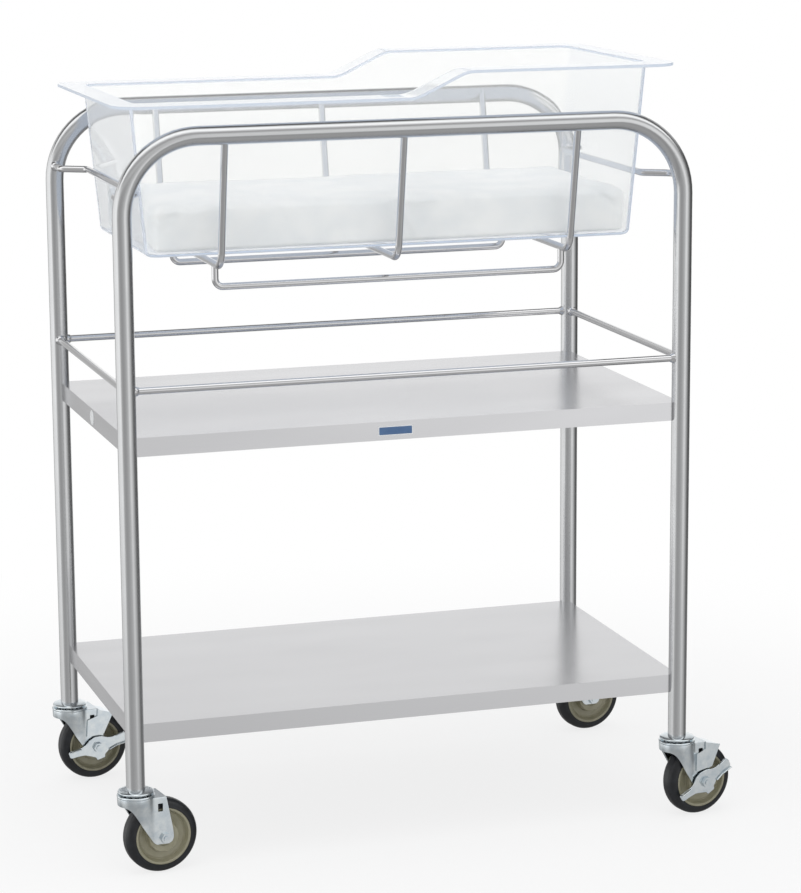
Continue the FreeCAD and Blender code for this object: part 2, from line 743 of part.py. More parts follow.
def make_mattress():
    """A foam pad, kept as a plain rounded block."""
    body = new_body("mattress")
    outline = Outline(body, "mattress_plan", "XY", s.mattress_bottom)
    outline.centred_rectangle(s.mattress_x, s.mattress_y, s.mattress_corner_radius)
    extrude(body, outline, s.mattress_thickness)
    top = s.mattress_bottom + s.mattress_thickness
    round_face(body, "mattress_top_edge", Vector(0, 0, 1), top, s.mattress_edge_radius)
    round_face(body, "mattress_bottom_edge", Vector(0, 0, -1), -s.mattress_bottom, s.mattress_edge_radius)


# ---------------------------------------------------------------- casters


class Caster:
    """Where one caster stands, and what is special about it."""

    def __init__(self, corner):
        side_x, side_y = CORNERS[corner]
        self.corner = corner
        self.x = side_x * s.leg_x
        self.y = side_y * s.leg_y
        self.turn = getattr(s, "swivel_angle_" + corner)
        self.brake = BRAKES_AT_REST.get(corner)
        self.nut_seat = s.lever_outer_y + s.brake_gap if self.brake else s.fork_outer_half

    def at_swivel(self, piece):
        """Start a sub-part whose own origin is on the floor, on the swivel axis."""
        return new_body(f"{piece}_{self.corner}", self.x, self.y, 0, self.turn)

    def at_axle(self, piece):
        """Start a sub-part whose own origin is the middle of the axle."""
        return new_body(f"{piece}_{self.corner}", self.x + s.wheel_lead * cosine(self.turn),
                        self.y + s.wheel_lead * sine(self.turn), s.wheel_radius, self.turn)


def turn_solid(body, corners, axis):
    """Turn a closed outline about the body's own axis; its corners are (radius, distance along it)."""
    outline = Outline(body, body.Label + "_half", "XZ" if axis == "Z" else "XY")
    outline.chain(corners, closed=True)
    revolve(body, outline, axis)


def mirrored(corners):
    """A half outline, followed by its mirror image below the axis' zero."""
    return corners + [(radius, -along) for radius, along in reversed(corners)]


def make_stem(caster):
    """The stem in the leg, with its riveted head under the fork."""
    body = caster.at_swivel("caster_stem")
    turn_solid(body, [
        (0, s.rivet_bottom), (s.rivet_radius - s.stem_chamfer, s.rivet_bottom),
        (s.rivet_radius, s.rivet_bottom + s.stem_chamfer), (s.rivet_radius, s.rivet_top),
        (s.stem_radius, s.rivet_top), (s.stem_radius, s.stem_top - s.stem_chamfer),
        (s.stem_radius - s.stem_chamfer, s.stem_top), (0, s.stem_top)], "Z")


def make_top_cap(caster):
    """The fixed upper raceway, pressed on the stem under the leg."""
    body = caster.at_swivel("caster_top_cap")
    turn_solid(body, [
        (s.stem_hole_radius, s.cap_bottom), (s.cap_radius, s.cap_bottom),
        (s.cap_radius, s.cap_bottom + s.cap_edge), (s.cap_radius - s.cap_slope, s.leg_end_z),
        (s.stem_hole_radius, s.leg_end_z)], "Z")
    groove = Outline(body, "cap_groove_" + caster.corner, "XZ")
    groove.circle((s.ball_circle_radius, s.ball_z), s.ball_radius + s.seat_gap)
    revolve(body, groove, "Z", "PartDesign::Groove")


def make_balls(caster):
    """The ring of bearing balls."""
    balls = []
    for index in range(SIZES["ball_count"]):
        angle = sized(360 * index) / s.ball_count
        ball = doc.addObject("Part::Sphere", f"ball_{caster.corner}_{index}")
        bind(ball, "Radius", s.ball_radius)
        bind(ball, ".Placement.Base.x", s.ball_circle_radius * cosine(angle))
        bind(ball, ".Placement.Base.y", s.ball_circle_radius * sine(angle))
        bind(ball, ".Placement.Base.z", s.ball_z)
        balls.append(ball)
    ring = doc.addObject("Part::Compound", "Compound_swivel_balls_" + caster.corner)
    ring.Links = balls
    ring.Label = "swivel_balls_" + caster.corner
    place(ring, caster.x, caster.y, 0, caster.turn)
    subparts.append(ring)


def make_fork(caster):
    """A stamped fork: a round nose under the raceway and two flat sides down to the axle."""
    body = caster.at_swivel("caster_fork")
    name = "fork_" + caster.corner + "_"
    low = s.wheel_radius - s.fork_drop
    tail = s.wheel_lead + s.fork_heel
    for part, inset in (("outside", sized(0)), ("inside", s.fork_sheet)):
        nose = Outline(body, name + part + "_nose", "XY", low)
        nose.circle((0, 0), s.fork_radius - inset)
        sides = Outline(body, name + part + "_sides", "XY", low)
        sides.rectangle((0, inset - s.fork_outer_half), (tail + inset, s.fork_outer_half - inset))
        for outline in (nose, sides):
            if part == "outside":
                extrude(body, outline, s.fork_top - low)
            else:
                pocket(body, outline, s.fork_ceiling - low, reverse=True)
    trim_fork(body, name, low, tail)
    race = Outline(body, name + "race", "XY", s.fork_top)
    race.circle((0, 0), s.raceway_diameter / 2)
    extrude(body, race, s.raceway_height)
    drill_fork(body, name)


def trim_fork(body, name, low, tail):
    """Trim the fork to its side view."""
    far = 2 * s.fork_diameter
    toe = s.wheel_lead - s.fork_toe
    nose_bottom = s.fork_top - s.fork_skirt
    trim = Outline(body, name + "trim", "XZ")
    trim.rectangle((-2 * far, -far), (2 * far, 2 * s.leg_end_z))
    trim.chain([(-far, nose_bottom), (-s.fork_nose, nose_bottom), (toe, low), (tail, low),
                (tail, s.wheel_radius + s.fork_heel_rise), (s.wheel_lead + s.fork_tail, s.fork_top),
                (s.wheel_lead + s.fork_tail, s.leg_end_z), (-far, s.leg_end_z)],
               [None, s.fork_nose_bend, s.fork_drop / 2, s.fork_drop, None, None, None, None], closed=True)
    pocket(body, trim, far, midplane=True)


def drill_fork(body, name):
    """Cut the holes for the brake's hook, the axle and the stem, and the groove for the balls."""
    hook = Outline(body, name + "hook", "XZ")
    middle = (s.wheel_lead - s.hook_back, s.wheel_radius + s.hook_rise)
    hook.rectangle((middle[0] - s.hook_width / 2, middle[1] - s.hook_height / 2),
                   (middle[0] + s.hook_width / 2, middle[1] + s.hook_height / 2))
    pocket(body, hook, 2 * s.fork_diameter, midplane=True)
    axle = Outline(body, name + "axle", "XZ")
    axle.circle((s.wheel_lead, s.wheel_radius), s.axle_radius + s.weld_gap)
    pocket(body, axle, 2 * s.fork_diameter, midplane=True)
    stem = Outline(body, name + "stem", "XY", s.fork_ceiling - s.fork_sheet)
    stem.circle((0, 0), s.stem_radius + s.running_clearance)
    pocket(body, stem, s.leg_end_z, reverse=True)
    groove = Outline(body, name + "groove", "XZ")
    groove.circle((s.ball_circle_radius, s.ball_z), s.ball_radius + s.groove_clearance)
    revolve(body, groove, "Z", "PartDesign::Groove")


def make_axle_bolt(caster):
    """The axle: a head behind the fork, and an end that shows past the nut."""
    body = caster.at_axle("axle_bolt")
    end = -(caster.nut_seat + s.nut_thickness + s.bolt_end)
    head = s.fork_outer_half + s.nut_thickness
    turn_solid(body, [(0, end), (s.axle_radius, end), (s.axle_radius, s.fork_outer_half),
                      (s.nut_radius, s.fork_outer_half), (s.nut_radius, head - s.nut_thickness / 4),
                      (s.nut_radius - s.nut_thickness / 4, head), (0, head)], "Y")


def make_axle_nut(caster):
    """The hexagon nut on the front end of the axle."""
    body = caster.at_axle("axle_nut")
    outline = Outline(body, "nut_" + caster.corner, "XZ", caster.nut_seat)
    outline.chain([(s.nut_radius * cosine(angle), s.nut_radius * sine(angle)) for angle in range(0, 360, 60)],
                  closed=True)
    outline.circle((0, 0), s.axle_radius + s.thread_gap)
    extrude(body, outline, s.nut_thickness)


def make_wheel(caster):
    """The core, the tread on it and the bearing sleeve in it."""
    web = s.tread_half - s.core_recess
    lip = s.core_radius - s.core_lip
    turn_solid(caster.at_axle("wheel_core"), mirrored([
        (s.core_radius, s.tread_half), (lip, s.tread_half), (lip, web), (s.hub_diameter / 2, web),
        (s.hub_diameter / 2, s.hub_half), (s.bearing_radius + s.weld_gap, s.hub_half)]), "Y")
    turn_solid(caster.at_axle("wheel_tread"), mirrored([
        (s.core_radius + s.weld_gap, s.tread_half), (s.wheel_radius - s.tread_corner, s.tread_half),
        (s.wheel_radius, s.tread_half - s.tread_corner)]), "Y")
    turn_solid(caster.at_axle("wheel_bearing"), mirrored([
        (s.axle_hole_radius, s.hub_half + s.axle_play / 2),
        (s.bearing_radius, s.hub_half + s.axle_play / 2)]), "Y")


# ---------------------------------------------------------------- brakes


def make_brake_lever(caster):
    """The foot lever on the axle: its toe locks the wheel and its heel frees it."""
    body = caster.at_axle("brake_lever")
    name = "lever_" + caster.corner + "_"
    toe = s.lever_locked_angle if caster.brake == "locked" else s.lever_locked_angle + s.lever_travel
    heel = toe + s.lever_heel_turn
    for part, start, radius in (("boss", s.shoe_inner_y, s.lever_boss_diameter / 2),
                                ("hub", s.lever_inner_y, s.lever_hub_diameter / 2)):
        disc = Outline(body, name + part, "XZ", start)
        disc.circle((0, 0), radius)
        extrude(body, disc, s.lever_outer_y - start)
    add_lever_arm(body, name + "toe", toe, s.lever_toe_length, s.lever_toe_width / 2, 1)
    add_lever_arm(body, name + "heel", heel, s.lever_heel_length, s.lever_heel_width / 2, -1)
    rib = Outline(body, name + "rib", "XZ", s.lever_inner_y, turn=toe)
    rib.rectangle((s.lever_toe_length - s.lever_rib_length, -s.lever_toe_width / 2),
                  (s.lever_toe_length - s.brake_sheet, s.brake_sheet - s.lever_toe_width / 2))
    extrude(body, rib, s.brake_sheet + s.lever_rib_depth)
    tab = Outline(body, name + "tab", "XZ", s.lever_inner_y, turn=toe)
    tab.rectangle((-s.lever_tab_width / 2, -s.lever_tab_length), (s.lever_tab_width / 2, 0))
    extrude(body, tab, s.brake_sheet)
    bore = Outline(body, name + "bore", "XZ")
    bore.circle((0, 0), s.axle_hole_radius)
    pocket(body, bore, 2 * s.fork_diameter, midplane=True)


def add_lever_arm(body, name, angle, length, half, upper):
    """A flat arm with a foot pad bent out from the end of its upper edge."""
    arm = Outline(body, name, "XZ", s.lever_inner_y, turn=angle)
    arm.rectangle((0, -half), (length, half))
    extrude(body, arm, s.brake_sheet)
    pad = Outline(body, name + "_pad", "XZ", s.lever_inner_y, turn=angle)
    edges = (upper * half, upper * (half - s.brake_sheet))
    pad.rectangle((length - s.lever_pad_length, edges[1] if upper > 0 else edges[0]),
                  (length, edges[0] if upper > 0 else edges[1]))
    extrude(body, pad, s.brake_sheet + s.lever_pad_depth)


def make_brake_shoe(caster):
    """The plate that hooks into the fork's side, with a band that comes down on the tread."""
    body = caster.at_axle("brake_shoe")
    name = "shoe_" + caster.corner + "_"
    hook = (-s.hook_back, s.hook_rise)
    turn = -s.shoe_travel if caster.brake == "locked" else sized(0)

    def outline(part, start, corners):
        drawn = Outline(body, name + part, "XZ", start, shift=hook, turn=turn)
        drawn.chain([(x - hook[0], z - hook[1]) for x, z in corners], closed=True)
        return drawn

    edge = s.shoe_radius + s.brake_sheet + s.shoe_edge
    plate = outline("plate", s.shoe_inner_y, [
        (-s.shoe_front, s.hook_rise - s.shoe_shoulder / 2), (s.shoe_step, s.hook_rise + s.shoe_shoulder),
        (s.shoe_step, edge), on_wheel(edge, s.shoe_end_angle), on_wheel(s.shoe_radius, s.shoe_end_angle),
        (s.shoe_back, s.shoe_bottom + s.shoe_shoulder), (-s.shoe_front, s.shoe_bottom)])
    extrude(body, plate, s.brake_sheet)
    band = Outline(body, name + "band", "XZ", s.shoe_inner_y, shift=hook, turn=turn)
    band.circle((-hook[0], -hook[1]), s.shoe_radius + s.brake_sheet)
    band.circle((-hook[0], -hook[1]), s.shoe_radius)
    extrude(body, band, s.shoe_reach, reverse=True)
    keep = outline("keep", s.shoe_inner_y, [
        on_wheel(radius, angle) for radius, angle in (
            (s.wheel_radius / 2, s.shoe_start_angle), (s.wheel_diameter, s.shoe_start_angle),
            (s.wheel_diameter, s.shoe_end_angle), (s.wheel_radius / 2, s.shoe_end_angle))])
    keep.centred_rectangle(2 * s.wheel_diameter, 2 * s.wheel_diameter)
    pocket(body, keep, s.wheel_diameter)
    tongue = Outline(body, name + "tongue", "XZ", s.shoe_inner_y, shift=hook, turn=turn)
    tongue.rectangle((s.hook_play - s.hook_width / 2, -s.hook_play - s.brake_sheet),
                     (s.hook_width / 2 - s.hook_play, -s.hook_play))
    extrude(body, tongue, s.brake_gap + s.fork_sheet + s.hook_play, reverse=True)


def on_wheel(radius, angle):
    """A point in the wheel's side view, at an angle back from straight above the axle."""
    return (radius * sine(angle), radius * cosine(angle))


# ---------------------------------------------------------------- the whole object


def make_everything():
    """Make every sub-part."""
    make_side_frame("front_side_frame", -1)
    make_side_frame("back_side_frame", 1)
    make_shelf("middle_shelf", s.middle_shelf_height)
    make_shelf("lower_shelf", s.lower_shelf_height)
    make_long_guard_rail("guard_rail_front", -1)
    make_long_guard_rail("guard_rail_back", 1)
    make_end_guard_rail("guard_rail_left", -1)
    make_end_guard_rail("guard_rail_right", 1)
    make_end_brace("left_end_brace", -1)
    make_end_brace("right_end_brace", 1)
    make_hoop("cradle_hoop_left", s.left_hoop_x)
    make_hoop("cradle_hoop_middle", s.hoop_shift)
    make_hoop("cradle_hoop_right", s.right_hoop_x)
    make_under_rail("under_rail_front", s.front_under_rail_offset - s.hoop_corner_y)
    make_under_rail("under_rail_back", s.hoop_corner_y - s.back_under_rail_offset)
    make_name_plate()
    make_round_label()
    make_leg_sockets()
    make_basin()
    make_mattress()
    for corner in CORNERS:
        make_caster(Caster(corner))


def make_caster(caster):
    """Make one caster's sub-parts."""
    make_stem(caster)
    make_top_cap(caster)
    make_balls(caster)
    make_fork(caster)
    make_axle_bolt(caster)
    make_axle_nut(caster)
    make_wheel(caster)
    if caster.brake:
        make_brake_lever(caster)
        make_brake_shoe(caster)


def check_everything():
    """Stop if any object of the document failed, or any sub-part is not a sound solid."""
    doc.recompute()
    for thing in doc.Objects:
        if "Invalid" in thing.State or "Error" in thing.State:
            raise ValueError(f"{thing.Label} failed: {thing.State}")
    for part in subparts:
        if part.Shape.isNull() or not part.Shape.isValid() or not part.Shape.Solids:
            raise ValueError(f"{part.Label} has no sound solid")


def write_everything():
    """Write each sub-part to its own STEP file."""
    os.makedirs("parts", exist_ok=True)
    whole = FreeCAD.BoundBox()
    for part in subparts:
        part.Shape.exportStep(f"parts/{part.Label}.step")
        whole.add(part.Shape.optimalBoundingBox(True, False))
    print(f"{len(subparts)} sub-parts")
    print(f"X {whole.XMin:.3f} to {whole.XMax:.3f}")
    print(f"Y {whole.YMin:.3f} to {whole.YMax:.3f}")
    print(f"Z {whole.ZMin:.3f} to {whole.ZMax:.3f}")


make_everything()
check_everything()
write_everything()
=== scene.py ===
"""A hospital bassinet: a clear lift-out basin with a mattress, on a stainless tube stand with casters.

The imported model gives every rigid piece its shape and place. This scene dresses those pieces in
their finishes, makes the basin, the mattress and the fittings with finer shapes, and sets up a plain
studio. Lengths are in metres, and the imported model's axes are used throughout.
"""

import logging
import math
from collections.abc import Iterable, Mapping, Sequence
from dataclasses import dataclass
from enum import Enum

import bmesh
import bpy
from bmesh.types import BMEdge, BMesh, BMFace, BMVert
from bpy.types import Material, Mesh, Modifier, Node, NodeSocket, NodeTree, Object, World
from mathutils import Matrix, Vector, noise


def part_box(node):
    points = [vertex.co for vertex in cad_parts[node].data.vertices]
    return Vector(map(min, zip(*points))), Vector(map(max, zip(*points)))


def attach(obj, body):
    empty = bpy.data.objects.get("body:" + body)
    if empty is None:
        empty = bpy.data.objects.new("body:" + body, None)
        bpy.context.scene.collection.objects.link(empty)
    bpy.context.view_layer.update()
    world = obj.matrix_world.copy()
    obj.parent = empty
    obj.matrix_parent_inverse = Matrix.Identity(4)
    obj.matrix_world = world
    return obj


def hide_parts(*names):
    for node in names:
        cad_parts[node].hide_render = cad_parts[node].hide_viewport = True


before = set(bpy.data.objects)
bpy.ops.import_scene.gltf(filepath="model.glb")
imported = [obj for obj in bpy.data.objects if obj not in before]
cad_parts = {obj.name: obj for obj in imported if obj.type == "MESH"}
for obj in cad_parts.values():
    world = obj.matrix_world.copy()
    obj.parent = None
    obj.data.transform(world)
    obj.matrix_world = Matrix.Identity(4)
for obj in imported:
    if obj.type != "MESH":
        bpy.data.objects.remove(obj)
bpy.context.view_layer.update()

MM = 0.001
TOUCH = 1e-6  # metres: lengths below this count as none
log = logging.getLogger("bassinet")


# ---------------------------------------------------------------- small helpers


def linear(hex_colour: str) -> tuple[float, float, float, float]:
    """Turn an sRGB colour into the linear values that Blender's sockets take.

    Args:
        hex_colour: Six hex digits with a leading #.

    Returns:
        Red, green, blue and an alpha of 1.
    """
    parts = [int(hex_colour[i:i + 2], 16) / 255 for i in (1, 3, 5)]
    red, green, blue = (part / 12.92 if part <= 0.04045 else ((part + 0.055) / 1.055) ** 2.4
                        for part in parts)
    return red, green, blue, 1.0


def add_node(tree: NodeTree, kind: str, settings: Mapping | None = None,
             links: Mapping | None = None) -> Node:
    """Add a node with its settings and its links.

    Args:
        tree: The node tree that the node goes into.
        kind: The node's type name.
        settings: Values by the name or number of an input, or by the name of a property. "stops" gives
            a colour ramp's stops as pairs of place and grey level or colour.
        links: The output that feeds each input, by the input's name or number.

    Returns:
        The new node.
    """
    node = tree.nodes.new(kind)
    for key, value in (settings or {}).items():
        if key == "stops":
            elements = node.color_ramp.elements
            while len(elements) < len(value):
                elements.new(1.0)
            for element, (place, shade) in zip(elements, value):
                element.position = place
                element.color = shade if isinstance(shade, tuple) else (shade, shade, shade, 1.0)
        elif isinstance(key, int) or key in node.inputs:
            node.inputs[key].default_value = value
        else:
            setattr(node, key, value)
    for key, source in (links or {}).items():
        tree.links.new(source, node.inputs[key])
    return node


def empty_tree(owner: Material | World) -> NodeTree:
    """Switch on the nodes of a material or a world, and clear them.

    Args:
        owner: The material or the world.

    Returns:
        Its empty node tree.
    """
    owner.use_nodes = True
    owner.node_tree.nodes.clear()
    return owner.node_tree


def new_object(name: str, bm: BMesh, smooth: bool = True) -> Object:
    """Turn a bmesh into an object at the origin.

    Args:
        name: The object's name.
        bm: The mesh, which is freed.
        smooth: Whether its faces are shaded smooth.

    Returns:
        The new object, linked to the scene.
    """
    mesh = bpy.data.meshes.new(name)
    for face in bm.faces:
        face.smooth = smooth
    bm.to_mesh(mesh)
    bm.free()
    made = bpy.data.objects.new(name, mesh)
    bpy.context.scene.collection.objects.link(made)
    return made


def add_modifier(piece: Object, kind: str, **settings: float | bool | str) -> Modifier:
    """Add a modifier with its settings.

    Args:
        piece: The object that gets it.
        kind: The modifier's type name.
        **settings: Its properties.

    Returns:
        The new modifier.
    """
    modifier = piece.modifiers.new(kind.lower(), kind)
    for key, value in settings.items():
        setattr(modifier, key, value)
    return modifier


def evaluated_mesh(piece: Object) -> Mesh:
    """Copy a piece's mesh as its modifiers leave it.

    Args:
        piece: The object to read.

    Returns:
        A new mesh.
    """
    depsgraph = bpy.context.evaluated_depsgraph_get()
    depsgraph.update()
    return bpy.data.meshes.new_from_object(piece.evaluated_get(depsgraph))


def bevel(bm: BMesh, geometry: Iterable, width: float, segments: int, affect: str = "EDGES") -> None:
    """Round edges or vertices with circular arcs.

    Args:
        bm: The mesh.
        geometry: The edges or vertices.
        width: How far the round reaches, in metres.
        segments: The number of faces across it.
        affect: "EDGES" or "VERTICES".
    """
    bmesh.ops.bevel(bm, geom=list(geometry), offset=width, offset_type="OFFSET", segments=segments,
                    profile=0.5, affect=affect, clamp_overlap=True, material=-1)


def turn_profile(bm: BMesh, profile: Sequence[tuple[float, float]], steps: int, place: Matrix) -> None:
    """Spin a closed profile into a ring.

    Args:
        bm: The mesh that the ring goes into.
        profile: Pairs of a radius and a height in millimetres.
        steps: The number of faces round the ring.
        place: Where the ring's own axis, its Z, goes.
    """
    before = set(bm.verts)
    verts = [bm.verts.new((radius * MM, 0.0, height * MM)) for radius, height in profile]
    edges = [bm.edges.new(pair) for pair in zip(verts, verts[1:] + verts[:1])]
    bmesh.ops.spin(bm, geom=verts + edges, axis=(0, 0, 1), cent=(0, 0, 0), angle=math.tau, steps=steps,
                   use_merge=True)
    made = [vert for vert in bm.verts if vert not in before]
    bmesh.ops.transform(bm, matrix=place, verts=made)
    bmesh.ops.recalc_face_normals(bm, faces=[face for face in bm.faces if face.verts[0] not in before])


def sharp_edges(bm: BMesh, degrees: float) -> list[BMEdge]:
    """Give the edges whose two faces meet at more than an angle."""
    return [edge for edge in bm.edges if len(edge.link_faces) == 2
            and edge.calc_face_angle(0.0) > math.radians(degrees)]


def edges_along(bm: BMesh, axis: int, least: float) -> list[BMEdge]:
    """Give the edges that run more than a length along an axis."""
    return [edge for edge in bm.edges if abs(edge.verts[0].co[axis] - edge.verts[1].co[axis]) > least]


def only_verts(parts: Iterable) -> list[BMVert]:
    """Give the vertices among what an operator made."""
    return [part for part in parts if isinstance(part, BMVert)]


def face_up(bm: BMesh, face: BMFace) -> None:
    """Turn the whole shell inside out if one of its faces looks down."""
    if face.normal.z < 0:
        bmesh.ops.reverse_faces(bm, faces=bm.faces)


def smoothstep(value: float, low: float, high: float) -> float:
    """Rise smoothly from 0 at low to 1 at high."""
    share = min(max((value - low) / (high - low), 0.0), 1.0)
    return share * share * (3 - 2 * share)


def soft_max(first: float, second: float, blend: float) -> float:
    """Give the larger number, rounded off where the two are closer than blend."""
    return max(first, second) + max(blend - abs(first - second), 0.0) ** 2 / (4 * blend)


def bump_at(value: float, middle: float, width: float) -> float:
    """Give a bell curve that is 1 at its middle."""
    return math.exp(-((value - middle) / width) ** 2)


# ---------------------------------------------------------------- finishes


# Where most of a noise's values lie. The gloss moves over the wide span and the colour over the narrow one.
GLOSS_SPAN = (0.3, 0.7)
COLOUR_SPAN = (0.35, 0.65)

# How far apart a wave texture's bands lie at a scale of 1.
WAVE_PERIOD = math.tau / 20


@dataclass(frozen=True)
class Surface:
    """A material's node tree with its shader and its output, and the ways that a pattern works on them."""

    tree: NodeTree
    shader: Node
    output: Node

    def grain(self, size_mm: float | Sequence[float], detail: float = 2.0) -> NodeSocket:
        """Add noise whose spots have a real size.

        Args:
            size_mm: The spots' size in millimetres, or their sizes along X, Y and Z.
            detail: How many finer layers it has.

        Returns:
            The noise's grey output.
        """
        sizes = [size_mm] * 3 if isinstance(size_mm, float) else size_mm
        place = add_node(self.tree, "ShaderNodeTexCoord")
        mapped = add_node(self.tree, "ShaderNodeMapping", {"Scale": tuple(1 / (size * MM) for size in sizes)},
                          {"Vector": place.outputs["Object"]})
        spots = add_node(self.tree, "ShaderNodeTexNoise", {"Scale": 1.0, "Detail": detail, "Roughness": 0.55},
                         {"Vector": mapped.outputs[0]})
        return spots.outputs[0]

    def vary_gloss(self, source: NodeSocket, spread: tuple[float, float]) -> None:
        """Make the surface glossier where a pattern is dark and duller where it is bright.

        Args:
            source: The pattern.
            spread: How far the roughness goes below and above the shader's own.
        """
        roughness = self.shader.inputs["Roughness"]
        ranged = add_node(self.tree, "ShaderNodeMapRange", {
            "From Min": GLOSS_SPAN[0], "From Max": GLOSS_SPAN[1],
            "To Min": roughness.default_value - spread[0],
            "To Max": roughness.default_value + spread[1]}, {"Value": source})
        self.tree.links.new(ranged.outputs[0], roughness)

    def tint(self, source: NodeSocket, dark: str, light: str) -> None:
        """Let a pattern move the colour between two colours.

        Args:
            source: The pattern.
            dark: The colour where the pattern is dark.
            light: The colour where it is bright.
        """
        stops = list(zip(COLOUR_SPAN, (linear(dark), linear(light))))
        ramp = add_node(self.tree, "ShaderNodeValToRGB", {"stops": stops}, {"Fac": source})
        self.tree.links.new(ramp.outputs[0], self.shader.inputs["Base Color"])

    def emboss(self, source: NodeSocket, depth_mm: float, strength: float = 1.0) -> None:
        """Let a pattern stand up from the surface.

        Args:
            source: The pattern.
            depth_mm: The pattern's height in millimetres.
            strength: The bump's strength.
        """
        bump = add_node(self.tree, "ShaderNodeBump", {"Distance": depth_mm * MM, "Strength": strength},
                        {"Height": source})
        self.tree.links.new(bump.outputs[0], self.shader.inputs["Normal"])


@dataclass(frozen=True)
class Finish:
    """A finish with a colour and a gloss, which the finishes below work out further."""

    slot: str
    colour: str
    roughness: float
    metallic: float = 0.0

    def make(self) -> Material:
        """Build the material.

        Returns:
            The material, named for the finish's slot.
        """
        material = bpy.data.materials.new(self.slot)
        tree = empty_tree(material)
        shader = add_node(tree, "ShaderNodeBsdfPrincipled", {
            "Base Color": linear(self.colour), "Roughness": self.roughness, "Metallic": self.metallic})
        output = add_node(tree, "ShaderNodeOutputMaterial", links={"Surface": shader.outputs[0]})
        self.work(Surface(tree, shader, output))
        return material

    def work(self, surface: Surface) -> None:
        """Add what the plain colour and gloss lack."""


@dataclass(frozen=True)
class PolishedTube(Finish):
    """304 stainless tube, polished to satin: soft bands of light with a faint cloudy grain."""

    grain_mm: float = 1.4
    patch_mm: float = 35.0
    grain_depth_mm: float = 0.003
    gloss_spread: tuple[float, float] = (0.03, 0.03)

    def work(self, surface: Surface) -> None:
        """Add duller patches, and the polishing grain, coarser than the real 0.1 mm so that it shows."""
        surface.vary_gloss(surface.grain(self.patch_mm), self.gloss_spread)
        surface.emboss(surface.grain(self.grain_mm), self.grain_depth_mm)


@dataclass(frozen=True)
class BrushedSheet(Finish):
    """304 stainless sheet with a number 4 finish: long fine lines along X that smear reflections."""

    line_mm: tuple[float, float, float] = (90.0, 1.1, 1.1)
    patch_mm: tuple[float, float, float] = (220.0, 60.0, 60.0)
    line_depth_mm: float = 0.0012
    smear: float = 0.3
    gloss_spread: tuple[float, float] = (0.015, 0.015)

    def work(self, surface: Surface) -> None:
        """Add the brushed lines, drawn coarser than the real 0.15 mm so that they show."""
        across = add_node(surface.tree, "ShaderNodeTangent", {"direction_type": "RADIAL", "axis": "X"})
        surface.tree.links.new(across.outputs[0], surface.shader.inputs["Tangent"])
        surface.shader.inputs["Anisotropic"].default_value = self.smear
        surface.vary_gloss(surface.grain(self.patch_mm), self.gloss_spread)
        surface.emboss(surface.grain(self.line_mm), self.line_depth_mm)


@dataclass(frozen=True)
class BrightZinc(Finish):
    """Steel with bright zinc plating: bluish silver with a faint cloudy bloom from the bath."""

    bloom_mm: float = 11.0
    bloom_detail: float = 3.0
    dark: str = "#D6DFE5"
    light: str = "#E6ECEE"
    gloss_spread: tuple[float, float] = (0.03, 0.04)
    ripple_mm: float = 3.5
    ripple_depth_mm: float = 0.01
    ripple_strength: float = 0.4

    def work(self, surface: Surface) -> None:
        """Add the bloom to the colour and the gloss, and the stamping's fine unevenness."""
        bloom = surface.grain(self.bloom_mm, self.bloom_detail)
        surface.tint(bloom, self.dark, self.light)
        surface.vary_gloss(bloom, self.gloss_spread)
        ripple = surface.grain(self.ripple_mm)
        surface.emboss(ripple, self.ripple_depth_mm, self.ripple_strength)


@dataclass(frozen=True)
class MouldedRubber(Finish):
    """Moulded thermoplastic rubber: near-black satin with a fine mould grain and a little dust."""

    dusty: str = "#1D2025"
    dust_mm: float = 9.0
    dust_detail: float = 4.0
    gloss_spread: tuple[float, float] = (0.05, 0.08)
    pore_mm: float = 0.8
    pore_depth_mm: float = 0.03
    pore_strength: float = 0.6

    def work(self, surface: Surface) -> None:
        """Add the mould grain and paler, duller patches."""
        dust = surface.grain(self.dust_mm, self.dust_detail)
        surface.tint(dust, self.colour, self.dusty)
        surface.vary_gloss(dust, self.gloss_spread)
        surface.emboss(surface.grain(self.pore_mm), self.pore_depth_mm, self.pore_strength)


@dataclass(frozen=True)
class MouldedPlastic(Finish):
    """Injection-moulded polyolefin: an even satin with faint flow clouds."""

    cloud: str = "#A5A28E"
    cloud_mm: float = 12.0
    cloud_detail: float = 3.0
    grain_mm: float = 0.7
    grain_depth_mm: float = 0.015
    grain_strength: float = 0.5

    def work(self, surface: Surface) -> None:
        """Add the flow clouds and the mould's grain."""
        surface.tint(surface.grain(self.cloud_mm, self.cloud_detail), self.colour, self.cloud)
        surface.emboss(surface.grain(self.grain_mm), self.grain_depth_mm, self.grain_strength)


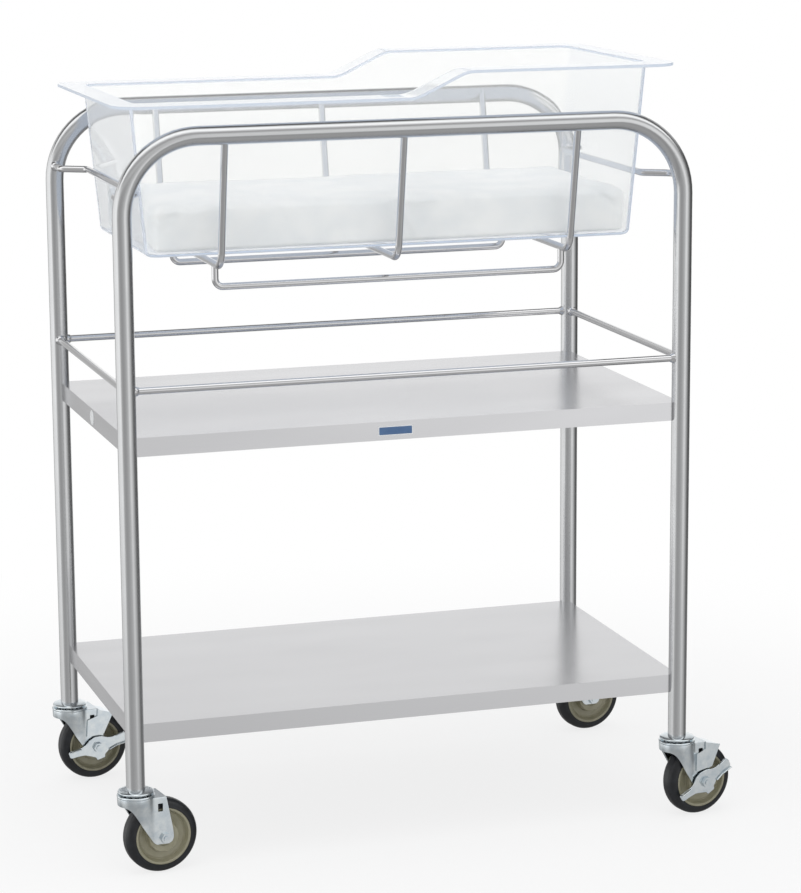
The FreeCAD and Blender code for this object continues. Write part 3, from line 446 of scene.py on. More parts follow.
@dataclass(frozen=True)
class WovenCover(Finish):
    """A cotton sheet over foam: matt white, finely woven, with a soft nap."""

    thread_mm: float = 2.0
    thread_depth_mm: float = 0.04
    thread_strength: float = 0.3
    thread_waver: float = 0.6
    nap: float = 0.25
    nap_roughness: float = 0.6
    shade: str = "#E9ECEE"
    shade_mm: float = 45.0

    def work(self, surface: Surface) -> None:
        """Add the weave, drawn coarser than the real 0.3 mm so that it shows, and the nap."""
        surface.shader.inputs["Sheen Weight"].default_value = self.nap
        surface.shader.inputs["Sheen Roughness"].default_value = self.nap_roughness
        surface.tint(surface.grain(self.shade_mm), self.shade, self.colour)
        place = add_node(surface.tree, "ShaderNodeTexCoord")
        waves = [add_node(surface.tree, "ShaderNodeTexWave", {
            "bands_direction": axis, "Scale": WAVE_PERIOD / (self.thread_mm * MM),
            "Distortion": self.thread_waver, "Detail": 1.0}, {"Vector": place.outputs["Object"]})
            for axis in ("X", "DIAGONAL")]
        weave = add_node(surface.tree, "ShaderNodeMath", {"operation": "MULTIPLY"},
                         {0: waves[0].outputs["Fac"], 1: waves[1].outputs["Fac"]})
        surface.emboss(weave.outputs[0], self.thread_depth_mm, self.thread_strength)


@dataclass(frozen=True)
class ClearMoulding(Finish):
    """Clear copolyester: slightly milky through the wall, tinted pale blue in its depth, with a painted pale
    blue glow along its edges.
    """

    index: float = 1.2
    clearness: float = 0.88
    depth_colour: str = "#A9CCEA"
    depth_density: float = 1.6
    # The colour of the painted glow that stands in for light running along the basin's edges.
    painted_glow_colour: str = "#CDD6E4"
    shadow_colour: str = "#F7F8F9"

    def work(self, surface: Surface) -> None:
        """Add the clearness, the tint in its depth, the painted glow along its edges, and the lamps' way
        through it.
        """
        surface.shader.inputs["Transmission Weight"].default_value = self.clearness
        surface.shader.inputs["IOR"].default_value = self.index
        path = add_node(surface.tree, "ShaderNodeLightPath").outputs
        # Painted light: a ray that has both reflected and passed through the wall sees a pale blue glow
        # instead of the plastic.
        painted_glow_rays = add_node(surface.tree, "ShaderNodeMath", {"operation": "MULTIPLY", "use_clamp": True},
                           {0: path["Glossy Depth"], 1: path["Transmission Depth"]})
        edge = add_node(surface.tree, "ShaderNodeEmission", {"Color": linear(self.painted_glow_colour)})
        body = add_node(surface.tree, "ShaderNodeMixShader", links={
            "Fac": painted_glow_rays.outputs[0], 1: surface.shader.outputs[0], 2: edge.outputs[0]})
        open_way = add_node(surface.tree, "ShaderNodeBsdfTransparent", {"Color": linear(self.shadow_colour)})
        mixed = add_node(surface.tree, "ShaderNodeMixShader", links={
            "Fac": path["Is Shadow Ray"], 1: body.outputs[0], 2: open_way.outputs[0]})
        surface.tree.links.new(mixed.outputs[0], surface.output.inputs["Surface"])
        depth = add_node(surface.tree, "ShaderNodeVolumeAbsorption", {
            "Color": linear(self.depth_colour), "Density": self.depth_density})
        surface.tree.links.new(depth.outputs[0], surface.output.inputs["Volume"])


class Look(Enum):
    """The finishes that the bassinet has, each for one material slot of the record."""

    TUBE = PolishedTube("stainless_tube", "#CECFD0", 0.2, metallic=1.0)
    ROD = PolishedTube("stainless_rod", "#DADADB", 0.12, metallic=1.0, grain_mm=1.2, patch_mm=20.0,
                       grain_depth_mm=0.002)
    SHEET = BrushedSheet("stainless_sheet", "#DBDBDD", 0.24, metallic=1.0)
    ZINC = BrightZinc("zinc_steel", "#DEE5E9", 0.16, metallic=1.0)
    BEARING = PolishedTube("bearing_steel", "#B9BABB", 0.25, metallic=1.0, grain_mm=1.0, patch_mm=8.0)
    SLEEVE = MouldedPlastic("socket_sleeve", "#4A4C4E", 0.5, cloud="#54565A")
    PLATE = MouldedPlastic("blank_plate", "#4A6A94", 0.35, cloud="#52729C")
    LABEL = MouldedPlastic("blank_label", "#F2F4F4", 0.45, cloud="#EAECEC")
    CORE = MouldedPlastic("wheel_core", "#99957D", 0.33, cloud="#A09C86")
    TREAD = MouldedRubber("wheel_tread", "#121316", 0.38)
    COVER = WovenCover("mattress_cover", "#F4F5F5", 0.75)
    CLEAR = ClearMoulding("clear_basin", "#FCFCFB", 0.03)


class Wardrobe:
    """Makes each finish's material once, and puts it on pieces."""

    def __init__(self) -> None:
        """Start with no materials."""
        self.made: dict[Look, Material] = {}

    def material(self, look: Look) -> Material:
        """Give a finish's material.

        Args:
            look: The finish.

        Returns:
            Its material, made at the first call.
        """
        if look not in self.made:
            self.made[look] = look.value.make()
        return self.made[look]

    def dress(self, piece: Object, look: Look) -> None:
        """Put one finish all over a piece.

        Args:
            piece: The object.
            look: The finish.
        """
        piece.data.materials.clear()
        piece.data.materials.append(self.material(look))

    def dress_nodes(self, names: Iterable[str], look: Look) -> None:
        """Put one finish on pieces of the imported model.

        Args:
            names: Their node names.
            look: The finish.
        """
        for name in names:
            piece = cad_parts[name]
            for slot in piece.material_slots:
                slot.material = self.material(look)
            if not piece.material_slots:
                piece.data.materials.append(self.material(look))
            log.info("%s keeps its shape and gets %s", name, look.value.slot)


@dataclass
class SubAssembly:
    """A part of the bassinet that takes its finishes from a wardrobe."""

    wardrobe: Wardrobe


# ---------------------------------------------------------------- studio


@dataclass(frozen=True)
class Lamp:
    """A square area lamp that shines at the stand's middle."""

    name: str
    place: tuple[float, float, float]
    size: float
    power: float


@dataclass
class Studio:
    """The floor, the lamps, the surroundings that the metal mirrors, and the camera.

    The surroundings' levels go by an angle in degrees from the camera's side. side_levels run around the
    horizon, with a soft box on the left, a strip at the front right and a flag on the right. over_levels run
    from the floor in front up over the top, and down the back to the floor again.
    """

    eye: tuple[float, float, float] = (-1.264942, -4.115713, 1.393377)
    azimuth: float = -0.303410618
    pitch: float = 0.202006024
    roll: float = -0.00659005795
    lens: float = 125.86
    sensor: float = 36.0
    clip: tuple[float, float] = (0.1, 60.0)
    floor_size: float = 14.0
    floor_colour: str = "#F2F2F2"
    floor_white: float = 0.8
    shadow_reach: tuple[float, float] = (0.55, 1.5)
    lamps: tuple[Lamp, ...] = (Lamp("top_lamp", (-0.4, -0.6, 3.4), 2.6, 34.0),
                               Lamp("left_lamp", (-3.0, -1.6, 1.8), 2.0, 16.0),
                               Lamp("front_lamp", (1.0, -4.2, 2.2), 2.0, 10.0))
    lamps_aim: tuple[float, float, float] = (0.0, 0.0, 0.6)
    sky_colour: str = "#FCFDFF"
    sky_level: float = 0.6
    over_share: tuple[float, float] = (0.17, 0.42)
    side_levels: tuple[tuple[float, float], ...] = (
        (-180, 1.05), (-163, 0.95), (-154, 0.5), (-138, 0.55), (-124, 1.1), (-62, 1.35), (-46, 0.6),
        (-24, 0.42), (0, 0.5), (25, 0.72), (42, 1.2), (62, 0.8), (80, 0.4), (95, 0.16), (125, 0.08),
        (143, 0.15), (156, 0.95), (180, 1.05))
    over_levels: tuple[tuple[float, float], ...] = (
        (-180, 0.9), (-160, 0.5), (-130, 0.25), (-97, 0.32), (-77, 0.45), (-47, 0.5), (-24, 0.36), (-6, 0.85),
        (8, 1.1), (24, 0.7), (42, 0.42), (56, 0.95), (70, 1.6), (88, 1.5), (101, 0.3), (112, 0.06),
        (126, 0.08), (138, 0.5), (150, 0.72), (166, 0.82), (180, 1.05))

    def build(self) -> None:
        """Set up the whole studio."""
        bpy.context.scene.view_settings.view_transform = "Standard"
        self.build_camera()
        self.build_floor()
        self.build_lamps()
        self.build_surroundings()
        log.info("studio is ready")

    def build_camera(self) -> None:
        """Stand the camera before the bassinet's front, a little to its left, looking slightly down."""
        forward = Vector((-math.sin(self.azimuth) * math.cos(self.pitch),
                          math.cos(self.azimuth) * math.cos(self.pitch), -math.sin(self.pitch)))
        right = forward.cross(Vector((0, 0, 1))).normalized()
        up = right.cross(forward)
        cosine, sine = math.cos(self.roll), math.sin(self.roll)
        turned = Matrix((cosine * right + sine * up, cosine * up - sine * right, -forward)).transposed()
        data = bpy.data.cameras.new("camera")
        data.sensor_fit, data.sensor_height, data.lens = "VERTICAL", self.sensor, self.lens
        data.clip_start, data.clip_end = self.clip
        camera = bpy.data.objects.new("camera", data)
        camera.matrix_world = Matrix.Translation(self.eye) @ turned.to_4x4()
        bpy.context.scene.collection.objects.link(camera)
        bpy.context.scene.camera = camera

    def build_floor(self) -> None:
        """Lay a white floor that keeps the bassinet's shadow and that the metal doesn't mirror."""
        bm = bmesh.new()
        bmesh.ops.create_grid(bm, x_segments=1, y_segments=1, size=self.floor_size / 2)
        floor = new_object("floor", bm, smooth=False)
        material = bpy.data.materials.new("white_floor")
        tree = empty_tree(material)
        place = add_node(tree, "ShaderNodeTexCoord")
        away = add_node(tree, "ShaderNodeVectorMath", {"operation": "LENGTH"}, {0: place.outputs["Object"]})
        white = add_node(tree, "ShaderNodeMapRange", {
            "interpolation_type": "SMOOTHSTEP", "From Min": self.shadow_reach[0],
            "From Max": self.shadow_reach[1], "To Min": self.floor_white}, {"Value": away.outputs["Value"]})
        share = add_node(tree, "ShaderNodeMath", {"operation": "MULTIPLY"},
                         {0: white.outputs[0], 1: self.seen_ray(tree)})
        paint = add_node(tree, "ShaderNodeBsdfDiffuse", {"Color": linear(self.floor_colour)})
        glow = add_node(tree, "ShaderNodeEmission", {"Color": linear("#FFFFFF")})
        both = add_node(tree, "ShaderNodeMixShader", links={
            "Fac": share.outputs[0], 1: paint.outputs[0], 2: glow.outputs[0]})
        add_node(tree, "ShaderNodeOutputMaterial", links={"Surface": both.outputs[0]})
        floor.data.materials.append(material)
        floor.visible_glossy = False

    def seen_ray(self, tree: NodeTree) -> NodeSocket:
        """Tell the rays that the camera sees, also through the clear basin, from all others.

        Args:
            tree: The node tree that asks.

        Returns:
            1 for such a ray, and 0 for another.
        """
        path = add_node(tree, "ShaderNodeLightPath").outputs
        return add_node(tree, "ShaderNodeMath", {"operation": "MAXIMUM"},
                        {0: path["Is Camera Ray"], 1: path["Is Transmission Ray"]}).outputs[0]

    def build_lamps(self) -> None:
        """Hang a broad lamp overhead, one on the left and a weaker one in front."""
        for plan in self.lamps:
            data = bpy.data.lights.new(plan.name, "AREA")
            data.size, data.energy = plan.size, plan.power
            lamp = bpy.data.objects.new(plan.name, data)
            aim = Vector(self.lamps_aim) - Vector(plan.place)
            turned = aim.to_track_quat("-Z", "Y").to_matrix().to_4x4()
            lamp.matrix_world = Matrix.Translation(plan.place) @ turned
            lamp.visible_glossy = False
            bpy.context.scene.collection.objects.link(lamp)

    def build_surroundings(self) -> None:
        """Make a white backdrop, an even sky for matt surfaces, and levels for the metal to mirror."""
        world = bpy.data.worlds.new("studio")
        bpy.context.scene.world = world
        tree = empty_tree(world)
        place = add_node(tree, "ShaderNodeTexCoord")
        turned = add_node(tree, "ShaderNodeVectorRotate", {"rotation_type": "Z_AXIS", "Angle": -self.azimuth},
                          {"Vector": place.outputs["Generated"]})
        axes = add_node(tree, "ShaderNodeSeparateXYZ", links={0: turned.outputs[0]}).outputs
        toward = add_node(tree, "ShaderNodeMath", {"operation": "MULTIPLY", 1: -1.0},
                          {0: axes["Y"]}).outputs[0]
        sides = self.ring(tree, axes["X"], toward, self.side_levels)
        over = self.ring(tree, axes["Z"], toward, self.over_levels)
        steep = add_node(tree, "ShaderNodeMath", {"operation": "ABSOLUTE"}, {0: axes["Z"]}).outputs[0]
        share = add_node(tree, "ShaderNodeMapRange", {
            "interpolation_type": "SMOOTHSTEP", "From Min": self.over_share[0],
            "From Max": self.over_share[1]}, {"Value": steep}).outputs[0]
        mirrored = add_node(tree, "ShaderNodeMix", {"data_type": "RGBA"},
                            {0: share, 6: sides, 7: over}).outputs[2]
        shown = add_node(tree, "ShaderNodeBackground", {"Color": linear("#FFFFFF"), "Strength": 1.0})
        sky = add_node(tree, "ShaderNodeBackground", {
            "Color": linear(self.sky_colour), "Strength": self.sky_level})
        boxes = add_node(tree, "ShaderNodeBackground", {"Strength": 1.0}, {"Color": mirrored})
        path = add_node(tree, "ShaderNodeLightPath").outputs
        lit = add_node(tree, "ShaderNodeMixShader", links={
            "Fac": path["Is Glossy Ray"], 1: sky.outputs[0], 2: boxes.outputs[0]})
        either = add_node(tree, "ShaderNodeMixShader", links={
            "Fac": self.seen_ray(tree), 1: lit.outputs[0], 2: shown.outputs[0]})
        add_node(tree, "ShaderNodeOutputWorld", links={"Surface": either.outputs[0]})

    def ring(self, tree: NodeTree, rise: NodeSocket, run: NodeSocket,
             levels: Sequence[tuple[float, float]]) -> NodeSocket:
        """Grade the surroundings by an angle.

        Args:
            tree: The world's node tree.
            rise: The direction's part across the camera's side.
            run: Its part towards the camera's side.
            levels: Pairs of an angle in degrees from the camera's side and a level there.

        Returns:
            The level as a colour.
        """
        angle = add_node(tree, "ShaderNodeMath", {"operation": "ARCTAN2"}, {0: rise, 1: run})
        place = add_node(tree, "ShaderNodeMapRange", {"From Min": -math.pi, "From Max": math.pi},
                         {"Value": angle.outputs[0]})
        ramp = add_node(tree, "ShaderNodeValToRGB", {
            "stops": [(degrees / 360 + 0.5, level) for degrees, level in levels]}, {"Fac": place.outputs[0]})
        return ramp.outputs[0]


# ---------------------------------------------------------------- stand


@dataclass
class Stand(SubAssembly):
    """The welded stainless stand, with its weld beads, its blank plate and its blank disc.

    The beads' profile gives pairs of a place out from the rod and one along it, in millimetres.
    """

    tubes: tuple[str, ...] = ("front_side_frame", "back_side_frame")
    sheets: tuple[str, ...] = ("middle_shelf", "lower_shelf")
    rods_along: tuple[str, ...] = ("guard_rail_front", "guard_rail_back")
    rods_across: tuple[str, ...] = ("guard_rail_left", "guard_rail_right", "left_end_brace",
                                    "right_end_brace")
    cradle: tuple[str, ...] = ("cradle_hoop_left", "cradle_hoop_middle", "cradle_hoop_right",
                               "under_rail_front", "under_rail_back")
    tube_radius: float = 12.7 * MM
    bead: tuple[tuple[float, float], ...] = ((-0.4, -2.2), (2.6, -2.2), (2.9, -0.6), (2.2, 1.0), (1.4, 2.8),
                                             (0.5, 4.6), (-0.4, 5.0))
    bead_steps: int = 24
    bead_waver: float = 0.5 * MM
    bead_grain: float = 2.6 * MM
    plate_border: float = 1.1 * MM
    plate_sink: float = 0.1 * MM
    plate_corner: float = 0.9 * MM
    plate_round: float = 0.08 * MM
    disc_narrowing: float = 0.2  # millimetres, from the disc's side to its face
    disc_side: float = 0.7  # the side's share of the disc's thickness
    disc_steps: int = 48

    def build(self) -> None:
        """Dress the stand and add its small fittings."""
        self.wardrobe.dress_nodes(self.tubes, Look.TUBE)
        self.wardrobe.dress_nodes(self.sheets, Look.SHEET)
        self.wardrobe.dress_nodes(self.rods_along + self.rods_across + self.cradle, Look.ROD)
        self.wardrobe.dress_nodes(["leg_sockets"], Look.SLEEVE)
        self.add_beads()
        self.add_plate()
        self.add_disc()

    def rod_ends(self) -> list[tuple[Vector, Vector, float]]:
        """List the ends of the rods that are welded to the legs.

        Returns:
            For each end its place, the way the rod runs from it, and the rod's radius.
        """
        front, back = (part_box(name) for name in self.tubes)
        legs = [[low.x + self.tube_radius, high.x - self.tube_radius, (low.y + high.y) / 2]
                for low, high in (front, back)]
        ends = []
        for name in self.rods_along + self.rods_across:
            low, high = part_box(name)
            middle, radius = (low + high) / 2, (high.z - low.z) / 2
            inset = math.sqrt(self.tube_radius ** 2 - radius ** 2)
            for sign in (1.0, -1.0):
                if name in self.rods_along:
                    leg = legs[0] if middle.y < 0 else legs[1]
                    place = Vector((leg[0] + inset if sign > 0 else leg[1] - inset, leg[2], middle.z))
                    way = Vector((sign, 0.0, 0.0))
                else:
                    x = legs[0][0] if middle.x < 0 else legs[0][1]
                    y = legs[0][2] + inset if sign > 0 else legs[1][2] - inset
                    place, way = Vector((x, y, middle.z)), Vector((0.0, sign, 0.0))
                ends.append((place, way, radius))
        return ends

    def add_beads(self) -> None:
        """Run a weld bead round each rod's end, with the waver of a hand weld."""
        bm = bmesh.new()
        for place, way, radius in self.rod_ends():
            turned = Matrix.Translation(place) @ way.to_track_quat("Z", "Y").to_matrix().to_4x4()
            ring = [(radius / MM + out, along) for out, along in self.bead]
            turn_profile(bm, ring, self.bead_steps, turned)
        for vert in bm.verts:
            vert.co += self.bead_waver * noise.noise_vector(vert.co / self.bead_grain)
        piece = new_object("weld_beads", bm)
        self.wardrobe.dress(piece, Look.ROD)
        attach(piece, "stand")
        log.info("weld beads are made")

    def add_plate(self) -> None:
        """Make the bare plate: a pale rim round a blue field."""
        low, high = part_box("name_plate")
        for name, look, inset, front in (("plate_rim", Look.LABEL, 0.0, low.y + self.plate_sink),
                                         ("plate_field", Look.PLATE, self.plate_border, low.y)):
            bm = bmesh.new()
            bmesh.ops.create_cube(bm, size=1.0)
            size = Vector((high.x - low.x - 2 * inset, high.y - front, high.z - low.z - 2 * inset))
            bmesh.ops.scale(bm, vec=size, verts=bm.verts)
            bevel(bm, edges_along(bm, 1, size.y / 2), self.plate_corner, 3)
            face_edges = [edge for edge in sharp_edges(bm, 60) if max(vert.co.y for vert in edge.verts) < 0]
            bevel(bm, face_edges, self.plate_round, 2)
            middle = ((low.x + high.x) / 2, (front + high.y) / 2, (low.z + high.z) / 2)
            bmesh.ops.translate(bm, verts=bm.verts, vec=middle)
            piece = new_object(name, bm, smooth=False)
            self.wardrobe.dress(piece, look)
            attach(piece, "stand")
            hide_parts("name_plate")
        log.info("bare plate is made")

    def add_disc(self) -> None:
        """Make the bare disc on the left flange, with a softly rounded rim."""
        low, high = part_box("round_label")
        middle, thick = (low + high) / 2, (high.x - low.x) / MM
        radius = (high.z - low.z) / 2 / MM
        profile = [(0.0, 0.0), (radius, 0.0), (radius, self.disc_side * thick),
                   (radius - self.disc_narrowing, thick), (0.0, thick)]
        turned = Matrix.Translation((high.x, middle.y, middle.z)) @ Matrix.Rotation(-math.pi / 2, 4, "Y")
        bm = bmesh.new()
        turn_profile(bm, profile, self.disc_steps, turned)
        bmesh.ops.remove_doubles(bm, verts=bm.verts, dist=0.01 * MM)
        bmesh.ops.recalc_face_normals(bm, faces=bm.faces)
        piece = new_object("round_disc", bm, smooth=False)
        self.wardrobe.dress(piece, Look.LABEL)
        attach(piece, "stand")
        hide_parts("round_label")
        log.info("bare disc is made")


# ---------------------------------------------------------------- basin


@dataclass
class Basin(SubAssembly):
    """The clear basin: a drafted box with a flat rim that steps up towards the head end.

    Halves are half lengths and half widths, and the slope and the cuts are places along the basin, all from
    its middle.
    """

    wall: float = 4.0 * MM
    floor_top: float = 820.5 * MM
    low_rim: float = 1020.3 * MM
    high_rim: float = 1053.5 * MM
    floor_half: tuple[float, float] = (336.39 * MM, 149.62 * MM)
    top_half: tuple[float, float] = (357.19 * MM, 156.53 * MM)
    rim_half: tuple[float, float] = (388.86 * MM, 207.5 * MM)
    corner: float = 14.0 * MM
    rim_corner: float = 40.0 * MM
    foot: float = 4.0 * MM
    rim_foot: float = 1.8 * MM
    rim_edge: float = 1.7 * MM
    slope: tuple[float, float] = (13.0 * MM, 84.0 * MM)
    slope_bend: float = 10.0 * MM
    cuts: tuple[float, ...] = (-0.2, -0.1, 0.2, 0.3)
    edge_angle: float = 60.0
    corner_steps: int = 8
    foot_steps: int = 5
    edge_steps: int = 4
    merge_reach: float = 0.02 * MM

    def middle(self) -> Vector:
        """Give the basin's middle in plan, from its packed box."""
        low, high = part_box("basin")
        return Vector(((low.x + high.x) / 2, (low.y + high.y) / 2, 0.0))

    def rim_height(self, x: float) -> float:
        """Give the rim's height.

        Args:
            x: The place along the basin, from its middle.

        Returns:
            The height over the floor of the room.
        """
        start, end = self.slope
        rise = (self.high_rim - self.low_rim) / (end - start)
        bend = self.slope_bend
        height = self.low_rim
        for knee, sign in ((start, 1.0), (end, -1.0)):
            over = x - knee
            if over >= bend:
                height += sign * rise * over
            elif over > -bend:
                height += sign * rise * (over + bend) ** 2 / (4 * bend)
        return height

    def build(self) -> None:
        """Make the basin."""
        bm = bmesh.new()
        self.add_walls(bm)
        self.add_rim(bm)
        bmesh.ops.remove_doubles(bm, verts=bm.verts, dist=self.merge_reach)
        bmesh.ops.recalc_face_normals(bm, faces=bm.faces)
        face_up(bm, min(bm.faces, key=lambda face: face.calc_center_median().z))
        bmesh.ops.translate(bm, verts=bm.verts, vec=self.middle())
        piece = new_object("clear_basin", bm)
        add_modifier(piece, "SOLIDIFY", thickness=self.wall, offset=-1.0, use_even_offset=True)
        add_modifier(piece, "BEVEL", width=self.rim_edge, segments=self.edge_steps, limit_method="ANGLE",
                     angle_limit=math.radians(self.edge_angle), use_clamp_overlap=True)
        add_modifier(piece, "WEIGHTED_NORMAL", weight=80)
        self.wardrobe.dress(piece, Look.CLEAR)
        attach(piece, "basin")
        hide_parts("basin")
        log.info("basin is made")

    def add_walls(self, bm: BMesh) -> None:
        """Raise the drafted walls from the floor, up to the rim's stepped line.

        Args:
            bm: The mesh, still empty.
        """
        bmesh.ops.create_grid(bm, x_segments=1, y_segments=1, size=1.0)
        bmesh.ops.scale(bm, vec=(*self.floor_half, 1.0), verts=bm.verts)
        bevel(bm, bm.verts[:], self.corner, self.corner_steps, "VERTICES")
        bmesh.ops.translate(bm, verts=bm.verts, vec=(0.0, 0.0, self.floor_top))
        raised = bmesh.ops.extrude_face_region(bm, geom=bm.faces[:])["geom"]
        top = only_verts(raised)
        bmesh.ops.translate(bm, verts=top, vec=(0.0, 0.0, self.high_rim - self.floor_top))
        bmesh.ops.scale(bm, verts=top, vec=(self.top_half[0] / self.floor_half[0],
                                            self.top_half[1] / self.floor_half[1], 1.0))
        lid = [part for part in raised if isinstance(part, BMFace)]
        bmesh.ops.delete(bm, geom=lid, context="FACES")
        steps = [knee + share * self.slope_bend for knee in self.slope for share in (-1, -0.5, 0, 0.5, 1)]
        for x in (*steps, *self.cuts):
            bmesh.ops.bisect_plane(bm, geom=bm.verts[:] + bm.edges[:] + bm.faces[:], plane_co=(x, 0, 0),
                                   plane_no=(1, 0, 0), dist=0.01 * MM)
        for vert in [v for v in bm.verts if v.co.z > self.high_rim - MM]:
            low = next(edge.other_vert(vert) for edge in vert.link_edges
                       if edge.other_vert(vert).co.z < self.floor_top + MM)
            share = (self.rim_height(vert.co.x) - low.co.z) / (vert.co.z - low.co.z)
            vert.co = low.co.lerp(vert.co, share)

    def add_rim(self, bm: BMesh) -> None:
        """Turn the walls' top out into the flat rim, and round where walls, floor and rim meet.

        Args:
            bm: The mesh with its walls.
        """
        lip = [edge for edge in bm.edges if edge.is_boundary]
        ring = bmesh.ops.extrude_edge_only(bm, edges=lip)["geom"]
        for vert in only_verts(ring):
            vert.co = self.rim_place(vert.co)
        # A foot's edge lies between the level floor and an upright wall.
        foot = [edge for edge in bm.edges if len(edge.link_faces) == 2
                and all(vert.co.z < self.floor_top + MM for vert in edge.verts)
                and abs(sum(face.normal.z ** 2 for face in edge.link_faces) - 1) < 0.3]
        bevel(bm, foot, self.foot, self.foot_steps)
        joint = [edge for edge in bm.edges if edge in lip or (
            len(edge.link_faces) == 2 and min(vert.co.z for vert in edge.verts) > self.low_rim - MM
            and edge.calc_face_angle(0.0) > math.radians(self.edge_angle))]
        bevel(bm, joint, self.rim_foot, self.edge_steps)

    def rim_place(self, place: Vector) -> Vector:
        """Give where a point of the walls' top goes on the rim's outer edge.

        Args:
            place: The point on the wall.

        Returns:
            The point at the same height on the outline of the rim.
        """
        share = (place.z - self.floor_top) / (self.high_rim - self.floor_top)
        half = [low + (high - low) * share for low, high in zip(self.floor_half, self.top_half)]
        scale = [size / low for size, low in zip(half, self.floor_half)]
        centre = [size - self.corner * factor for size, factor in zip(half, scale)]
        outer = [size - self.rim_corner for size in self.rim_half]
        side = [math.copysign(1.0, place.x), math.copysign(1.0, place.y)]
        over = [abs(place.x) - centre[0], abs(place.y) - centre[1]]
        if min(over) > -TOUCH:
            turn = math.atan2(over[1] / scale[1], over[0] / scale[0])
            spot = (outer[0] + self.rim_corner * math.cos(turn), outer[1] + self.rim_corner * math.sin(turn))
        elif over[0] > over[1]:
            spot = (self.rim_half[0], abs(place.y) * outer[1] / centre[1])
        else:
            spot = (abs(place.x), self.rim_half[1])
        return Vector((side[0] * spot[0], side[1] * spot[1], place.z))


# ---------------------------------------------------------------- mattress


@dataclass(frozen=True)
class Fold:
    """A fold in the sheet on the front of the mattress, in millimetres from the mattress' middle.

    A groove lies beside the ridge, its place a share of the width and its depth one of the height. The fold
    fades in and out over two stretches of its length, as shares of it.
    """

    start: tuple[float, float]
    end: tuple[float, float]
    width: float
    height: float
    groove_place: float = 1.7
    groove_depth: float = 1.3
    fade_in: tuple[float, float] = (-0.15, 0.12)
    fade_out: tuple[float, float] = (0.8, 1.2)

    def rise(self, x: float, z: float) -> float:
        """Give how far the fold stands out at a place on the front.

        Args:
            x: The place along the mattress.
            z: Its height.

        Returns:
            The rise in millimetres, below zero in the groove beside the ridge.
        """
        run = (self.end[0] - self.start[0], self.end[1] - self.start[1])
        length = math.hypot(*run)
        along = ((x - self.start[0]) * run[0] + (z - self.start[1]) * run[1]) / length ** 2
        across = ((x - self.start[0]) * run[1] - (z - self.start[1]) * run[0]) / length
        ends = smoothstep(along, *self.fade_in) * (1 - smoothstep(along, *self.fade_out))
        ridge = bump_at(across, 0.0, self.width)
        groove = bump_at(across, self.groove_place * self.width, self.width)
        return self.height * ends * (ridge - self.groove_depth * groove)


